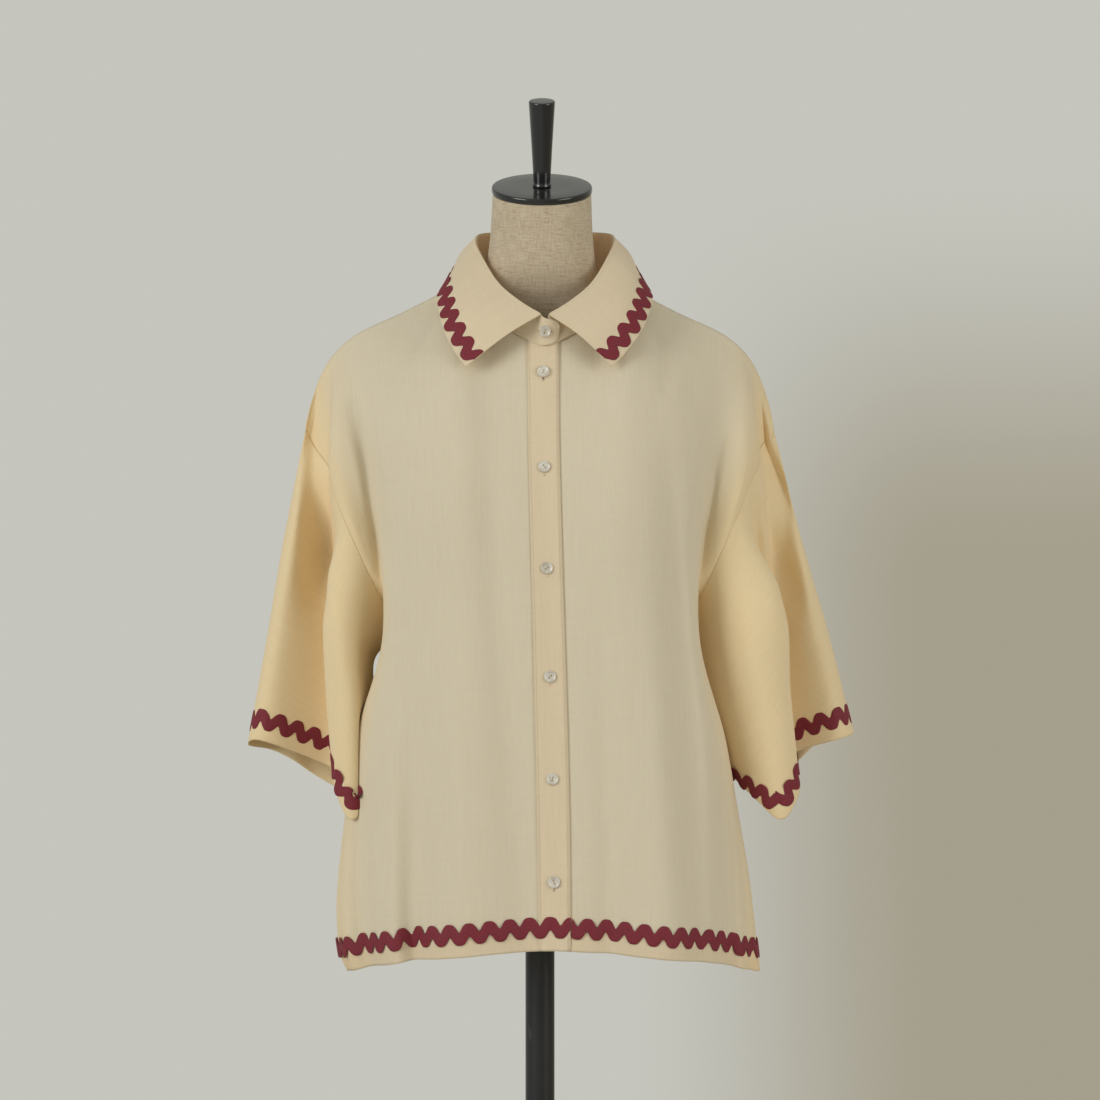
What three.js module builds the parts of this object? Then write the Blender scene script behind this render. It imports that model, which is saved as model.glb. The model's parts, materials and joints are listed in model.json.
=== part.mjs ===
// Ric-rac trimmed shirt on a limbless dress form.
// Millimetres. +Z is up, -Y is the front, +X is the wearer's left.
// The origin is the centre of the stand's underside, on the floor.
import * as THREE from "three";

// ---------------------------------------------------------------- driving sizes

const HALF_WIDTH = 295; // the shirt laid flat, centre front to side seam
const CLOTH = 1.4; // thickness of one wall of cloth
const TAPE = 1.1; // thickness of the ric-rac
const SEAM_GAP = 0.3; // clear space between two pieces
const PLACKET_WIDTH = 36;
const PLACKET_TOP_X = 3.5; // the front closing hangs a little towards the wearer's left
const PLACKET_DRIFT = 11;
const HEM_TRIM_LOW = 20; // lower edge of the ric-rac, above the hem
const HEM_TRIM_HIGH = 39; // upper edge of the ric-rac, above the hem
const BUTTON_RADIUS = 6;
const BUTTON_THICK = 2.4;
const RIGHT_CUFF_SQUEEZE = 0.8; // the wearer's right cuff hangs closer in than the left

const BUTTON_HEIGHTS = [1103, 1010, 913, 809, 711, 613];

const FORM_FOOT = 600; // height of the torso's flat underside
const POLE_RADIUS = 14.5;
const BASE_RADIUS = 165;
const BASE_THICK = 12;
const CAP_RADIUS = 50;
const CAP_THICK = 6;
const CAP_TILT = THREE.MathUtils.degToRad(22); // the neck is cut sloping to the front
const CAP_CENTRE = new THREE.Vector3(2, -13, 1286); // middle of the neck's cut end
const HANDLE_LENGTH = 88;

const materials = {
  cotton: { color: 0xcdbf9b, roughness: 0.9, metalness: 0 },
  ricrac: { color: 0x6e3032, roughness: 0.9, metalness: 0 },
  button: { color: 0xdbd3c4, roughness: 0.3, metalness: 0 },
  linen: { color: 0xb0a086, roughness: 0.95, metalness: 0 },
  blackWood: { color: 0x25241f, roughness: 0.3, metalness: 0 },
  blackMetal: { color: 0x24262a, roughness: 0.4, metalness: 0.1 },
};

const shirt = new THREE.Group();
shirt.name = "ricrac_shirt_on_dress_form";

function addPiece(name, geometry, material) {
  const mesh = new THREE.Mesh(geometry, new THREE.MeshStandardMaterial(materials[material]));
  mesh.name = name;
  shirt.add(mesh);
}

// ---------------------------------------------------------------- walls of cloth

// A point on a smooth curve through evenly numbered points.
function onCurve(points, position) {
  const last = points.length - 1;
  const k = Math.min(Math.floor(position), last - 1);
  const t = position - k;
  const before = points[Math.max(k - 1, 0)];
  const after = points[Math.min(k + 2, last)];
  const a = points[k];
  const b = points[k + 1];
  return new THREE.Vector3(...["x", "y", "z"].map((axis) => {
    const slopeA = (b[axis] - before[axis]) / 2;
    const slopeB = (after[axis] - a[axis]) / 2;
    const p = 2 * a[axis] - 2 * b[axis] + slopeA + slopeB;
    const q = 3 * (b[axis] - a[axis]) - 2 * slopeA - slopeB;
    return ((p * t + q) * t + slopeA) * t + a[axis];
  }));
}

// Where a value falls in a rising list, as a fractional index.
function indexOf(list, value) {
  let k = 0;
  while (k < list.length - 2 && value > list[k + 1]) k += 1;
  return k + (value - list[k]) / (list[k + 1] - list[k]);
}

// Two points closer than a twentieth of a millimetre are taken as one.
const key = (p) => [p.x, p.y, p.z].map((v) => Math.round(v * 20 + 0.31)).join(" ");

// The outward direction of each panel at each of its points.
const facesAt = new Map();

function eachFace(grid, wrapped, visit) {
  const rows = grid.length;
  const columns = grid[0].length;
  for (let r = 0; r < rows - 1; r += 1) {
    for (let c = 0; c < (wrapped ? columns : columns - 1); c += 1) {
      const next = (c + 1) % columns;
      visit(r * columns + c, (r + 1) * columns + c, (r + 1) * columns + next, r * columns + next);
    }
  }
}

function gatherNormals(grid, wrapped) {
  const points = grid.flat();
  const sums = new Map();
  eachFace(grid, wrapped, (a, b, c, d) => {
    const across = points[c].clone().sub(points[a]);
    const other = points[d].clone().sub(points[b]);
    const normal = across.cross(other);
    for (const corner of [a, b, c, d]) {
      const name = key(points[corner]);
      if (!sums.has(name)) sums.set(name, new THREE.Vector3());
      sums.get(name).add(normal);
    }
  });
  for (const [name, sum] of sums) {
    if (!facesAt.has(name)) facesAt.set(name, []);
    facesAt.get(name).push(sum.normalize());
  }
}

// The way out at a point, made longer where the cloth is folded sharply, so that
// both sides of the fold keep their thickness.
const SHARPEST = 0.6;
function wayOut(point) {
  const faces = facesAt.get(key(point));
  const out = faces.reduce((sum, face) => sum.add(face), new THREE.Vector3()).normalize();
  const flattest = Math.min(...faces.map((face) => face.dot(out)));
  return out.multiplyScalar(1 / Math.max(flattest, SHARPEST));
}

// A closed wall on a grid of points. Rows run down, columns run so that the
// outside is on the left of the way down. The edges named are drawn back from the seam.
function wall(grid, { thick = CLOTH, lift = 0, wrapped = false, drawnBack = "" } = {}) {
  const rows = grid.length;
  const columns = grid[0].length;
  const inner = [];
  const outer = [];
  for (let r = 0; r < rows; r += 1) {
    for (let c = 0; c < columns; c += 1) {
      const point = grid[r][c];
      const out = wayOut(point);
      const moved = point.clone();
      const drawTowards = (other) => {
        const way = other.clone().sub(point).normalize();
        moved.addScaledVector(way, SEAM_GAP * 0.55 * out.length());
      };
      if (r === 0 && drawnBack.includes("T")) drawTowards(grid[1][c]);
      if (r === rows - 1 && drawnBack.includes("B")) drawTowards(grid[r - 1][c]);
      if (c === 0 && drawnBack.includes("L")) drawTowards(grid[r][1]);
      if (c === columns - 1 && drawnBack.includes("R")) drawTowards(grid[r][c - 1]);
      inner.push(moved.clone().addScaledVector(out, lift));
      outer.push(moved.clone().addScaledVector(out, lift + thick));
    }
  }
  const count = rows * columns;
  const positions = [...inner, ...outer].flatMap((p) => [p.x, p.y, p.z]);
  const index = [];
  const quad = (a, b, c, d) => index.push(a, b, c, a, c, d);
  eachFace(grid, wrapped, (a, b, c, d) => {
    quad(a + count, b + count, c + count, d + count);
    quad(a, d, c, b);
  });
  const rim = (a, b) => quad(a, b, b + count, a + count);
  for (let c = 0; c < (wrapped ? columns : columns - 1); c += 1) {
    const next = (c + 1) % columns;
    rim(next, c);
    rim((rows - 1) * columns + c, (rows - 1) * columns + next);
  }
  if (!wrapped) {
    for (let r = 0; r < rows - 1; r += 1) {
      rim(r * columns, (r + 1) * columns);
      rim((r + 2) * columns - 1, (r + 1) * columns - 1);
    }
  }
  const geometry = new THREE.BufferGeometry();
  geometry.setAttribute("position", new THREE.Float32BufferAttribute(positions, 3));
  geometry.setIndex(index);
  return geometry;
}

// ---------------------------------------------------------------- body of the shirt

// The body hangs from the shoulder seam in drape lines, placed by hand. Each line
// is at one distance from the centre of the flat shirt. Its points are on the shoulder
// seam, at two and four sixths of the armhole, at the underarm, at a third and two
// thirds of the side seam, and on the hem.
const LINE_AT = [0, 45, 80, 139, 188, 227, 266, HALF_WIDTH];
const LEVELS = ["shoulder", "chest", "bust", "underarm", "waist", "hip", "hem"];

const frontLines = [
  [[0, -82, 1130], [0, -108, 1055], [0, -122, 975], [0, -126, 880], [0, -131, 770], [0, -138, 662], [0, -145, 550]],
  [[46, -62, 1156], [45, -104, 1068], [45, -126, 982], [45, -130, 880], [46, -136, 768], [46, -143, 658], [45, -150, 548]],
  [[77, -2, 1198], [82, -93, 1108], [82, -128, 1000], [80, -130, 880], [80, -136, 765], [80, -143, 655], [79, -150, 545]],
  [[138, -2, 1168], [136, -80, 1084], [132, -108, 985], [130, -110, 870], [134, -118, 758], [136, -128, 648], [136, -138, 538]],
  [[184, 0, 1146], [178, -56, 1060], [158, -74, 972], [148, -82, 858], [166, -88, 750], [174, -97, 640], [176, -108, 530]],
  [[214, 4, 1118], [203, -60, 1040], [168, -56, 955], [150, -58, 850], [182, -56, 745], [196, -65, 634], [202, -78, 522]],
  [[229, 8, 1083], [214, -56, 1012], [178, -62, 930], [139, -28, 847], [178, -22, 742], [204, -28, 630], [216, -42, 514]],
  [[236, 10, 1052], [216, -50, 988], [182, -60, 914], [138, 2, 843], [168, 4, 738], [198, 2, 626], [214, -8, 508]],
];
const backLines = [
  [[0, 64, 1216], [0, 104, 1110], [0, 116, 1010], [0, 122, 900], [0, 126, 782], [0, 131, 670], [0, 138, 560]],
  [[46, 52, 1212], [45, 100, 1108], [46, 116, 1008], [46, 124, 898], [46, 128, 780], [46, 132, 668], [46, 138, 558]],
  [[77, -2, 1198], [82, 88, 1104], [84, 108, 1002], [82, 118, 892], [82, 124, 775], [82, 128, 664], [83, 133, 554]],
  [[138, -2, 1168], [137, 72, 1084], [134, 92, 986], [126, 98, 876], [132, 108, 762], [138, 114, 652], [140, 118, 542]],
  [[184, 0, 1146], [178, 56, 1062], [158, 70, 972], [150, 76, 862], [166, 86, 752], [175, 92, 642], [178, 94, 532]],
  [[214, 4, 1118], [203, 56, 1042], [168, 54, 956], [150, 58, 852], [180, 60, 746], [196, 66, 635], [203, 66, 523]],
  [[229, 8, 1083], [214, 54, 1014], [178, 60, 931], [139, 30, 848], [178, 30, 743], [204, 34, 631], [216, 32, 515]],
  [[236, 10, 1052], [216, 50, 990], [182, 58, 915], [138, 2, 843], [168, 4, 738], [198, 2, 626], [214, -8, 508]],
];

// Soft folds: how far in or out the cloth stands, fading in from the bust to the hem.
const folds = [
  { panel: "front", at: -58, wide: 22, deep: 6 },
  { panel: "front", at: -132, wide: 20, deep: 9 },
  { panel: "front", at: 54, wide: 20, deep: 8 },
  { panel: "front", at: 182, wide: 18, deep: 9 },
  { panel: "front", at: 232, wide: 14, deep: 7 },
  { panel: "back", at: 0, wide: 26, deep: 12 },
  { panel: "back", at: 96, wide: 22, deep: 13 },
  { panel: "back", at: -104, wide: 24, deep: 14 },
  { panel: "back", at: -190, wide: 20, deep: 9 },
  { panel: "back", at: 186, wide: 20, deep: 10 },
];

const smooth = (t) => THREE.MathUtils.smoothstep(t, 0, 1);

// A curve that turns a corner at one of its points.
function onCorneredCurve(points, position, corner) {
  if (position < corner) return onCurve(points.slice(0, corner + 1), position);
  return onCurve(points.slice(corner), position - corner);
}

const NECK_CORNER = 2; // the line that starts where the shoulder seam meets the collar
const UNDERARM = 3; // the level where the armhole meets the side seam

// A point of the body: across the flat shirt in mm, and down it in levels from 0 to 6.
function bodyPoint(panel, across, level) {
  const lines = panel === "front" ? frontLines : backLines;
  const place = indexOf(LINE_AT, Math.abs(across));
  const row = lines.map((line, k) => {
    const points = line.map((p) => new THREE.Vector3(...p));
    return k === lines.length - 1 ? onCorneredCurve(points, level, UNDERARM) : onCurve(points, level);
  });
  const point = onCorneredCurve(row, place, NECK_CORNER);
  point.lerp(onCurve(row, place), smooth(level));
  if (across < 0) point.x *= -1;
  const inward = panel === "front" ? 1 : -1;
  for (const fold of folds) {
    if (fold.panel !== panel) continue;
    const near = Math.exp(-(((across - fold.at) / fold.wide) ** 2));
    point.y += inward * fold.deep * near * smooth((level - 1.6) / 3);
  }
  if (panel === "front") {
    const nearPlacket = smooth((80 - Math.abs(across)) / 60);
    const fromSide = smooth((240 - Math.abs(across)) / 120);
    const drift = PLACKET_DRIFT * smooth((level - 0.5) / 5.5);
    point.x += nearPlacket * PLACKET_TOP_X + fromSide * drift;
  }
  return point;
}

// Rows down the body: smooth steps, with the two edges of the hem trim among them.
const hipToHem = 112;
const TRIM_HIGH_LEVEL = 6 - HEM_TRIM_HIGH / hipToHem;
const TRIM_LOW_LEVEL = 6 - HEM_TRIM_LOW / hipToHem;
const ARMHOLE_ROWS = [0, 0.25, 0.5, 0.75, 1, 1.25, 1.5, 1.75, 2, 2.25, 2.5, 2.75, 3];
const BODY_ROWS = [...ARMHOLE_ROWS, 3.5, 4, 4.5, 5, TRIM_HIGH_LEVEL, TRIM_LOW_LEVEL, 6];
const HALF_COLUMNS = [45, 80, 106, 132, 156, 178, 198, 216, 234, 252, 272, HALF_WIDTH];
const PLACKET_HALF = PLACKET_WIDTH / 2;

const bodyGrid = (panel, columns) =>
  BODY_ROWS.map((level) => columns.map((across) => bodyPoint(panel, across, level)));

const leftColumns = [-PLACKET_HALF, 0, PLACKET_HALF, ...HALF_COLUMNS];
const rightColumns = [...HALF_COLUMNS].reverse().map((c) => -c).concat(-PLACKET_HALF);
const placketColumns = [-PLACKET_HALF, 0, PLACKET_HALF];
const backColumns = [...HALF_COLUMNS, 20].sort((a, b) => b - a)
  .concat(0, [20, ...HALF_COLUMNS].map((c) => -c));

const frontLeft = bodyGrid("front", leftColumns);
const frontRight = bodyGrid("front", rightColumns);
const placket = bodyGrid("front", placketColumns);
const back = bodyGrid("back", backColumns);

// ---------------------------------------------------------------- sleeves

// Twelve points round each sleeve, from the outer fold down the front to the underarm
// and up the back. The front hangs in a fold that stands forward of the outer strip.
const sleeveRings = [
  [
    [262, 16, 945], [251, -14, 931], [236, -32, 908], [234, -64, 882], [213, -76, 850], [192, -54, 832],
    [182, 0, 818], [194, 36, 834], [194, 64, 846], [214, 66, 878], [228, 48, 908], [247, 44, 932],
  ],
  [
    [290, 20, 845], [270, -10, 836], [250, -28, 814], [248, -60, 788], [227, -74, 756], [203, -52, 750],
    [191, -8, 744], [196, 30, 752], [210, 60, 764], [233, 64, 790], [246, 44, 816], [268, 48, 838],
  ],
  [
    [314, 24, 745], [290, -4, 739], [266, -22, 722], [264, -54, 698], [243, -70, 668], [217, -52, 680],
    [203, -14, 692], [209, 24, 685], [225, 54, 680], [250, 60, 700], [264, 42, 723], [290, 52, 741],
  ],
];
const AROUND = Array.from({ length: 24 }, (_, k) => k / 2);
const CUFF_STEP = 98; // length of the sleeve between two rings
const sleeveLevels = [0, 0.5, 1, 1.5, 2, 3 - HEM_TRIM_HIGH / CUFF_STEP, 3 - HEM_TRIM_LOW / CUFF_STEP, 3];

function sleeveGrid(side) {
  const mirror = (p) => new THREE.Vector3(side * p[0], p[1], p[2]);
  const seamPoint = (step) => {
    const level = step <= 6 ? step / 2 : (12 - step) / 2;
    return bodyPoint(step <= 6 ? "front" : "back", side * HALF_WIDTH, level);
  };
  const rings = sleeveRings.map((ring) => ring.map(mirror));
  if (side < 0) {
    rings.forEach((ring, k) => {
      const squeeze = THREE.MathUtils.lerp(1, RIGHT_CUFF_SQUEEZE, (k + 1) / 3);
      const innermost = ring[6].x;
      ring.forEach((p) => {
        p.x = innermost + (p.x - innermost) * squeeze;
      });
    });
  }
  const smoothRings = rings.map((ring) => AROUND.map((step) => {
    const first = Math.floor(step);
    const four = [-1, 0, 1, 2].map((k) => ring[(first + k + 12) % 12]);
    return onCurve(four, 1 + step - first);
  }));
  const allRings = [AROUND.map(seamPoint), ...smoothRings];
  const grid = sleeveLevels.map((level) =>
    AROUND.map((_, c) => onCurve(allRings.map((ring) => ring[c]), level)));
  return side < 0 ? grid : grid.map((row) => [row[0], ...row.slice(1).reverse()]);
}

const sleeveLeft = sleeveGrid(1);
const sleeveRight = sleeveGrid(-1);

// ---------------------------------------------------------------- collar

// Stations from the front closing round the side of the neck to the centre back:
// the roll line on top of the stand, the middle of the leaf, and its outer edge.
const collarStations = [
  { roll: [4, -87, 1158], leaf: [38, -101, 1138], edge: [76, -105, 1111] },
  { roll: [27, -75, 1174], leaf: [57, -91, 1152], edge: [87, -95, 1125] },
  { roll: [46, -57, 1192], leaf: [76, -70, 1173], edge: [100, -73, 1146] },
  { roll: [63, -28, 1218], leaf: [90, -34, 1202], edge: [111, -36, 1174] },
  { roll: [71, 6, 1239], leaf: [95, 6, 1224], edge: [112, 6, 1193] },
  { roll: [59, 44, 1250], leaf: [78, 60, 1234], edge: [88, 76, 1203] },
  { roll: [0, 64, 1253], leaf: [0, 84, 1238], edge: [0, 97, 1208] },
];
// Where each station of the stand is sewn to the neckline.
const neckSeam = [
  ["front", 0], ["front", 24], ["front", 47], ["front", 68], ["front", 80], ["back", 45], ["back", 0],
];
const STAND_THICK = 1.6;
const STAND_RISE = 4; // clear of the neckline's cut edge

const collarColumns = Array.from({ length: 13 }, (_, k) => k / 2);

function collarPoint(part, station, side) {
  const p = onCurve(collarStations.map((s) => new THREE.Vector3(...s[part])), station);
  return new THREE.Vector3(side * p.x, p.y, p.z);
}

function neckPoint(station, side) {
  const p = onCurve(neckSeam.map(([panel, across]) => bodyPoint(panel, across, 0)), station);
  return new THREE.Vector3(side * p.x, p.y, p.z + STAND_RISE);
}

// Walks from the wearer's left front end round the back to the right front end.
function collarRow(make) {
  const left = collarColumns.map((s) => make(s, 1));
  const right = collarColumns.slice(0, -1).reverse().map((s) => make(s, -1));
  return [...left, ...right];
}

// The right end of the stand laps over the left one and is buttoned to it. The lap
// is a little narrower than the stand, and its end is rounded.
const LAP_REACH = [5, 12, 17, 21];
const LAP_LOWER = [4, 5, 6, 10];
const LAP_RISE = [0, 2, 4, 8];
const standGrid = [1, 0.5, 0].map((t) => {
  const row = collarRow((s, side) => neckPoint(s, side).lerp(collarPoint("roll", s, side), t));
  const end = row[row.length - 1];
  end.y -= 2.4;
  LAP_REACH.forEach((x, k) => {
    row.push(new THREE.Vector3(x, end.y + 0.01 * x * x, end.z - t * LAP_LOWER[k] + (1 - t) * LAP_RISE[k]));
  });
  return row;
});

const LEAF_TRIM_HIGH = 0.66;
const LEAF_TRIM_LOW = 0.96;
const leafRows = [0, 0.33, LEAF_TRIM_HIGH, LEAF_TRIM_LOW, 1];
const leafGrid = leafRows.map((t) => collarRow((s, side) => {
  const three = ["roll", "leaf", "edge"].map((part) => collarPoint(part, s, side));
  three[0].z += SEAM_GAP + 0.4;
  three[0].y -= s < 1 ? 3 * (1 - s) : 0;
  return onCurve(three, 2 * t);
}));

// ---------------------------------------------------------------- cloth pieces

const gridsThatMeet = [frontLeft, frontRight, placket, back];
gridsThatMeet.forEach((grid) => gatherNormals(grid, false));
gatherNormals(sleeveLeft, true);
gatherNormals(sleeveRight, true);
gatherNormals(standGrid, false);
gatherNormals(leafGrid, false);

// The wearer's left front passes under the placket, one wall of cloth behind it.
const underPlacket = frontLeft.map((row) => row.map((point, c) => {
  const behind = leftColumns[c] < PLACKET_HALF + 1 ? CLOTH + SEAM_GAP : 0;
  const moved = point.clone().addScaledVector(wayOut(point), -behind);
  facesAt.set(key(moved), facesAt.get(key(point)));
  return moved;
}));

addPiece("front_left", wall(underPlacket, { drawnBack: "TR" }), "cotton");
addPiece("front_right", wall(frontRight, { drawnBack: "TLR" }), "cotton");
addPiece("back", wall(back, { drawnBack: "TLR" }), "cotton");
addPiece("placket", wall(placket, { thick: CLOTH + 0.3, drawnBack: "TL" }), "cotton");
// At the armhole the sleeve's cloth lies on the inside of the seam.
const sleeveWall = { wrapped: true, lift: -CLOTH, drawnBack: "T" };
addPiece("sleeve_left", wall(sleeveLeft, sleeveWall), "cotton");
addPiece("sleeve_right", wall(sleeveRight, sleeveWall), "cotton");
addPiece("collar_stand", wall(standGrid, { thick: STAND_THICK, lift: -STAND_THICK }), "cotton");
addPiece("collar_leaf", wall(leafGrid, { thick: STAND_THICK }), "cotton");

// ---------------------------------------------------------------- ric-rac bands

const TAPE_LIFT = CLOTH + SEAM_GAP;
const hemRows = [BODY_ROWS.indexOf(TRIM_HIGH_LEVEL), BODY_ROWS.indexOf(TRIM_LOW_LEVEL)];
const cuffRows = [sleeveLevels.length - 3, sleeveLevels.length - 2];
const band = (grid, rows) => rows.map((r) => grid[r]);
const tape = { thick: TAPE, lift: TAPE_LIFT };

const leftTrim = band(frontLeft, hemRows).map((row) => row.slice(2));
addPiece("ricrac_hem_front_left", wall(leftTrim, { ...tape, drawnBack: "LR" }), "ricrac");
addPiece("ricrac_hem_front_right", wall(band(frontRight, hemRows), { ...tape, drawnBack: "LR" }), "ricrac");
addPiece("ricrac_placket",
  wall(band(placket, hemRows), { ...tape, lift: TAPE_LIFT + 0.3, drawnBack: "LR" }), "ricrac");
addPiece("ricrac_hem_back", wall(band(back, hemRows), { ...tape, drawnBack: "LR" }), "ricrac");
const cuffTape = { thick: TAPE, lift: SEAM_GAP, wrapped: true };
addPiece("ricrac_sleeve_left", wall(band(sleeveLeft, cuffRows), cuffTape), "ricrac");
addPiece("ricrac_sleeve_right", wall(band(sleeveRight, cuffRows), cuffTape), "ricrac");
addPiece("ricrac_collar",
  wall(band(leafGrid, [2, 3]), { thick: TAPE, lift: STAND_THICK + SEAM_GAP }), "ricrac");

// ---------------------------------------------------------------- buttons

function turned(profile, segments = 32) {
  const points = profile.map(([radius, height]) => new THREE.Vector2(radius, height));
  const lathe = new THREE.LatheGeometry(points, segments);
  lathe.rotateX(Math.PI / 2);
  return lathe;
}

// A shallow dished button, its back towards the cloth.
const buttonProfile = [
  [0, 0], [BUTTON_RADIUS * 0.8, 0], [BUTTON_RADIUS, BUTTON_THICK * 0.45], [BUTTON_RADIUS, BUTTON_THICK * 0.75],
  [BUTTON_RADIUS * 0.86, BUTTON_THICK], [BUTTON_RADIUS * 0.6, BUTTON_THICK * 0.7], [0, BUTTON_THICK * 0.7],
];

function addButton(name, point, outward, lift) {
  const geometry = turned(buttonProfile, 20);
  const turn = new THREE.Quaternion().setFromUnitVectors(new THREE.Vector3(0, 0, 1), outward);
  geometry.applyQuaternion(turn);
  const seat = point.clone().addScaledVector(outward, lift);
  geometry.translate(seat.x, seat.y, seat.z);
  addPiece(name, geometry, "button");
}

// The way out of a surface that falls from one point to another, facing the front.
function frontOf(above, below) {
  const down = below.clone().sub(above);
  return new THREE.Vector3(0, down.z, -down.y).normalize();
}

const standMiddle = standGrid[1][standGrid[1].length - 4];
const standFront = frontOf(standGrid[0][standGrid[0].length - 4], standGrid[2][standGrid[2].length - 4]);
addButton("button_1", new THREE.Vector3(5, standMiddle.y, standMiddle.z), standFront, 1.6);

function placketPointAt(height) {
  let high = 0;
  let low = 6;
  while (low - high > 1e-4) {
    const middle = (high + low) / 2;
    if (bodyPoint("front", 0, middle).z > height) high = middle;
    else low = middle;
  }
  return { point: bodyPoint("front", 0, high), level: high };
}

BUTTON_HEIGHTS.forEach((height, k) => {
  const { point, level } = placketPointAt(height);
  const outward = frontOf(bodyPoint("front", 0, level - 0.05), bodyPoint("front", 0, level + 0.05));
  addButton(`button_${k + 2}`, point, outward, CLOTH + 1);
});

// ---------------------------------------------------------------- dress form

// Rings of the torso and neck: height, half width, reach to the front and to the back,
// how far the ring's middle is off the axis to the front, and how much it slopes.
const formRings = [
  [FORM_FOOT, 148, 86, 94, 0, 0], [650, 156, 90, 102, 0, 0], [735, 136, 84, 86, 0, 0],
  [800, 114, 78, 72, 0, 0], [860, 120, 92, 76, 0, 0], [920, 134, 106, 86, 0, 0],
  [965, 141, 110, 92, 0, 0], [1010, 147, 101, 96, 0, 0], [1056, 158, 84, 94, 0, 0],
  [1094, 176, 58, 70, 0, 0], [1119, 187, 36, 44, 0, 0], [1136, 168, 28, 32, 0, 0],
  [1151, 136, 27, 28, 0, 0], [1165, 106, 28, 29, 0, 0.02], [1179, 78, 32, 34, 1, 0.05],
  [1195, 61, 40, 42, 3, 0.1], [1214, 55, 45, 46, 6, 0.18], [1244, 51, 46, 47, 10, 0.3],
  [CAP_CENTRE.z, 49, 45, 46, 13, Math.tan(CAP_TILT)],
];
const FORM_SIDES = 36;
const FULLNESS = 0.9; // below 1 the ring is squarer than an ellipse

function formPoint(ring, side) {
  const [height, half, front, behind, forward, slope] = ring;
  const turn = (2 * Math.PI * side) / FORM_SIDES;
  const squared = (v) => Math.sign(v) * Math.abs(v) ** FULLNESS;
  const y = squared(Math.sin(turn)) * (Math.sin(turn) < 0 ? front : behind);
  const lean = CAP_CENTRE.x * (forward / 13);
  return new THREE.Vector3(squared(Math.cos(turn)) * half + lean, y - forward, height + y * slope);
}

function loftedSolid(rings, sides) {
  const points = rings.flat();
  const index = [];
  for (let r = 0; r < rings.length - 1; r += 1) {
    for (let k = 0; k < sides; k += 1) {
      const a = r * sides + k;
      const b = r * sides + ((k + 1) % sides);
      index.push(a, b, b + sides, a, b + sides, a + sides);
    }
  }
  const centre = (ring) => ring.reduce((sum, p) => sum.add(p), new THREE.Vector3()).divideScalar(sides);
  points.push(centre(rings[0]), centre(rings[rings.length - 1]));
  const top = (rings.length - 1) * sides;
  for (let k = 0; k < sides; k += 1) {
    const next = (k + 1) % sides;
    index.push(points.length - 2, next, k, points.length - 1, top + k, top + next);
  }
  const geometry = new THREE.BufferGeometry();
  geometry.setAttribute("position", new THREE.Float32BufferAttribute(points.flatMap((p) => [p.x, p.y, p.z]), 3));
  geometry.setIndex(index);
  return geometry;
}

const formLevels = [];
for (let r = 0; r < formRings.length - 1; r += 1) {
  const tall = formRings[r + 1][0] - formRings[r][0] > 30;
  formLevels.push(r);
  if (tall) formLevels.push(r + 0.5);
}
formLevels.push(formRings.length - 1);
const ringsOfForm = formLevels.map((level) => Array.from({ length: FORM_SIDES }, (_, side) =>
  onCurve(formRings.map((ring) => formPoint(ring, side)), level)));
addPiece("dress_form", loftedSolid(ringsOfForm, FORM_SIDES), "linen");

// The cap closes the sloping end of the neck, and the handle stands square on it.
function placeOnNeck(geometry, rise) {
  geometry.rotateX(CAP_TILT);
  const along = new THREE.Vector3(0, -Math.sin(CAP_TILT), Math.cos(CAP_TILT)).multiplyScalar(rise);
  geometry.translate(CAP_CENTRE.x + along.x, CAP_CENTRE.y + along.y, CAP_CENTRE.z + along.z);
  return geometry;
}

const capProfile = [
  [0, 0], [CAP_RADIUS, 0], [CAP_RADIUS, CAP_THICK - 1], [CAP_RADIUS - 1, CAP_THICK], [0, CAP_THICK],
];
addPiece("neck_cap", placeOnNeck(turned(capProfile, 64), 0.5), "blackWood");

const handleProfile = [
  [0, 0], [10, 0], [10, 2], [8.4, 3.5], [8.8, 8], [11.4, HANDLE_LENGTH * 0.65], [13, HANDLE_LENGTH - 1],
  [12.4, HANDLE_LENGTH], [0, HANDLE_LENGTH],
];
addPiece("cap_handle", placeOnNeck(turned(handleProfile), CAP_THICK + 0.8), "blackWood");

const poleProfile = [
  [0, 0], [POLE_RADIUS, 0], [POLE_RADIUS, FORM_FOOT - BASE_THICK - 2 * SEAM_GAP],
  [0, FORM_FOOT - BASE_THICK - 2 * SEAM_GAP],
];
const pole = turned(poleProfile);
pole.translate(0, 0, BASE_THICK + SEAM_GAP);
addPiece("pole", pole, "blackMetal");

const baseProfile = [
  [0, 0], [BASE_RADIUS, 0], [BASE_RADIUS, BASE_THICK - 3], [BASE_RADIUS - 3, BASE_THICK], [0, BASE_THICK],
];
addPiece("stand_base", turned(baseProfile, 72), "blackMetal");

shirt.updateMatrixWorld(true);

export default shirt;
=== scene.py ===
# A wide cream shirt edged with burgundy ric-rac, hanging on a limbless dress form.
# Sizes are in millimetres in each section and turned to metres as a mesh is made.
import json
import math

import bpy
import numpy as np
from mathutils import Matrix, Vector
from mathutils.bvhtree import BVHTree

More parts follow.
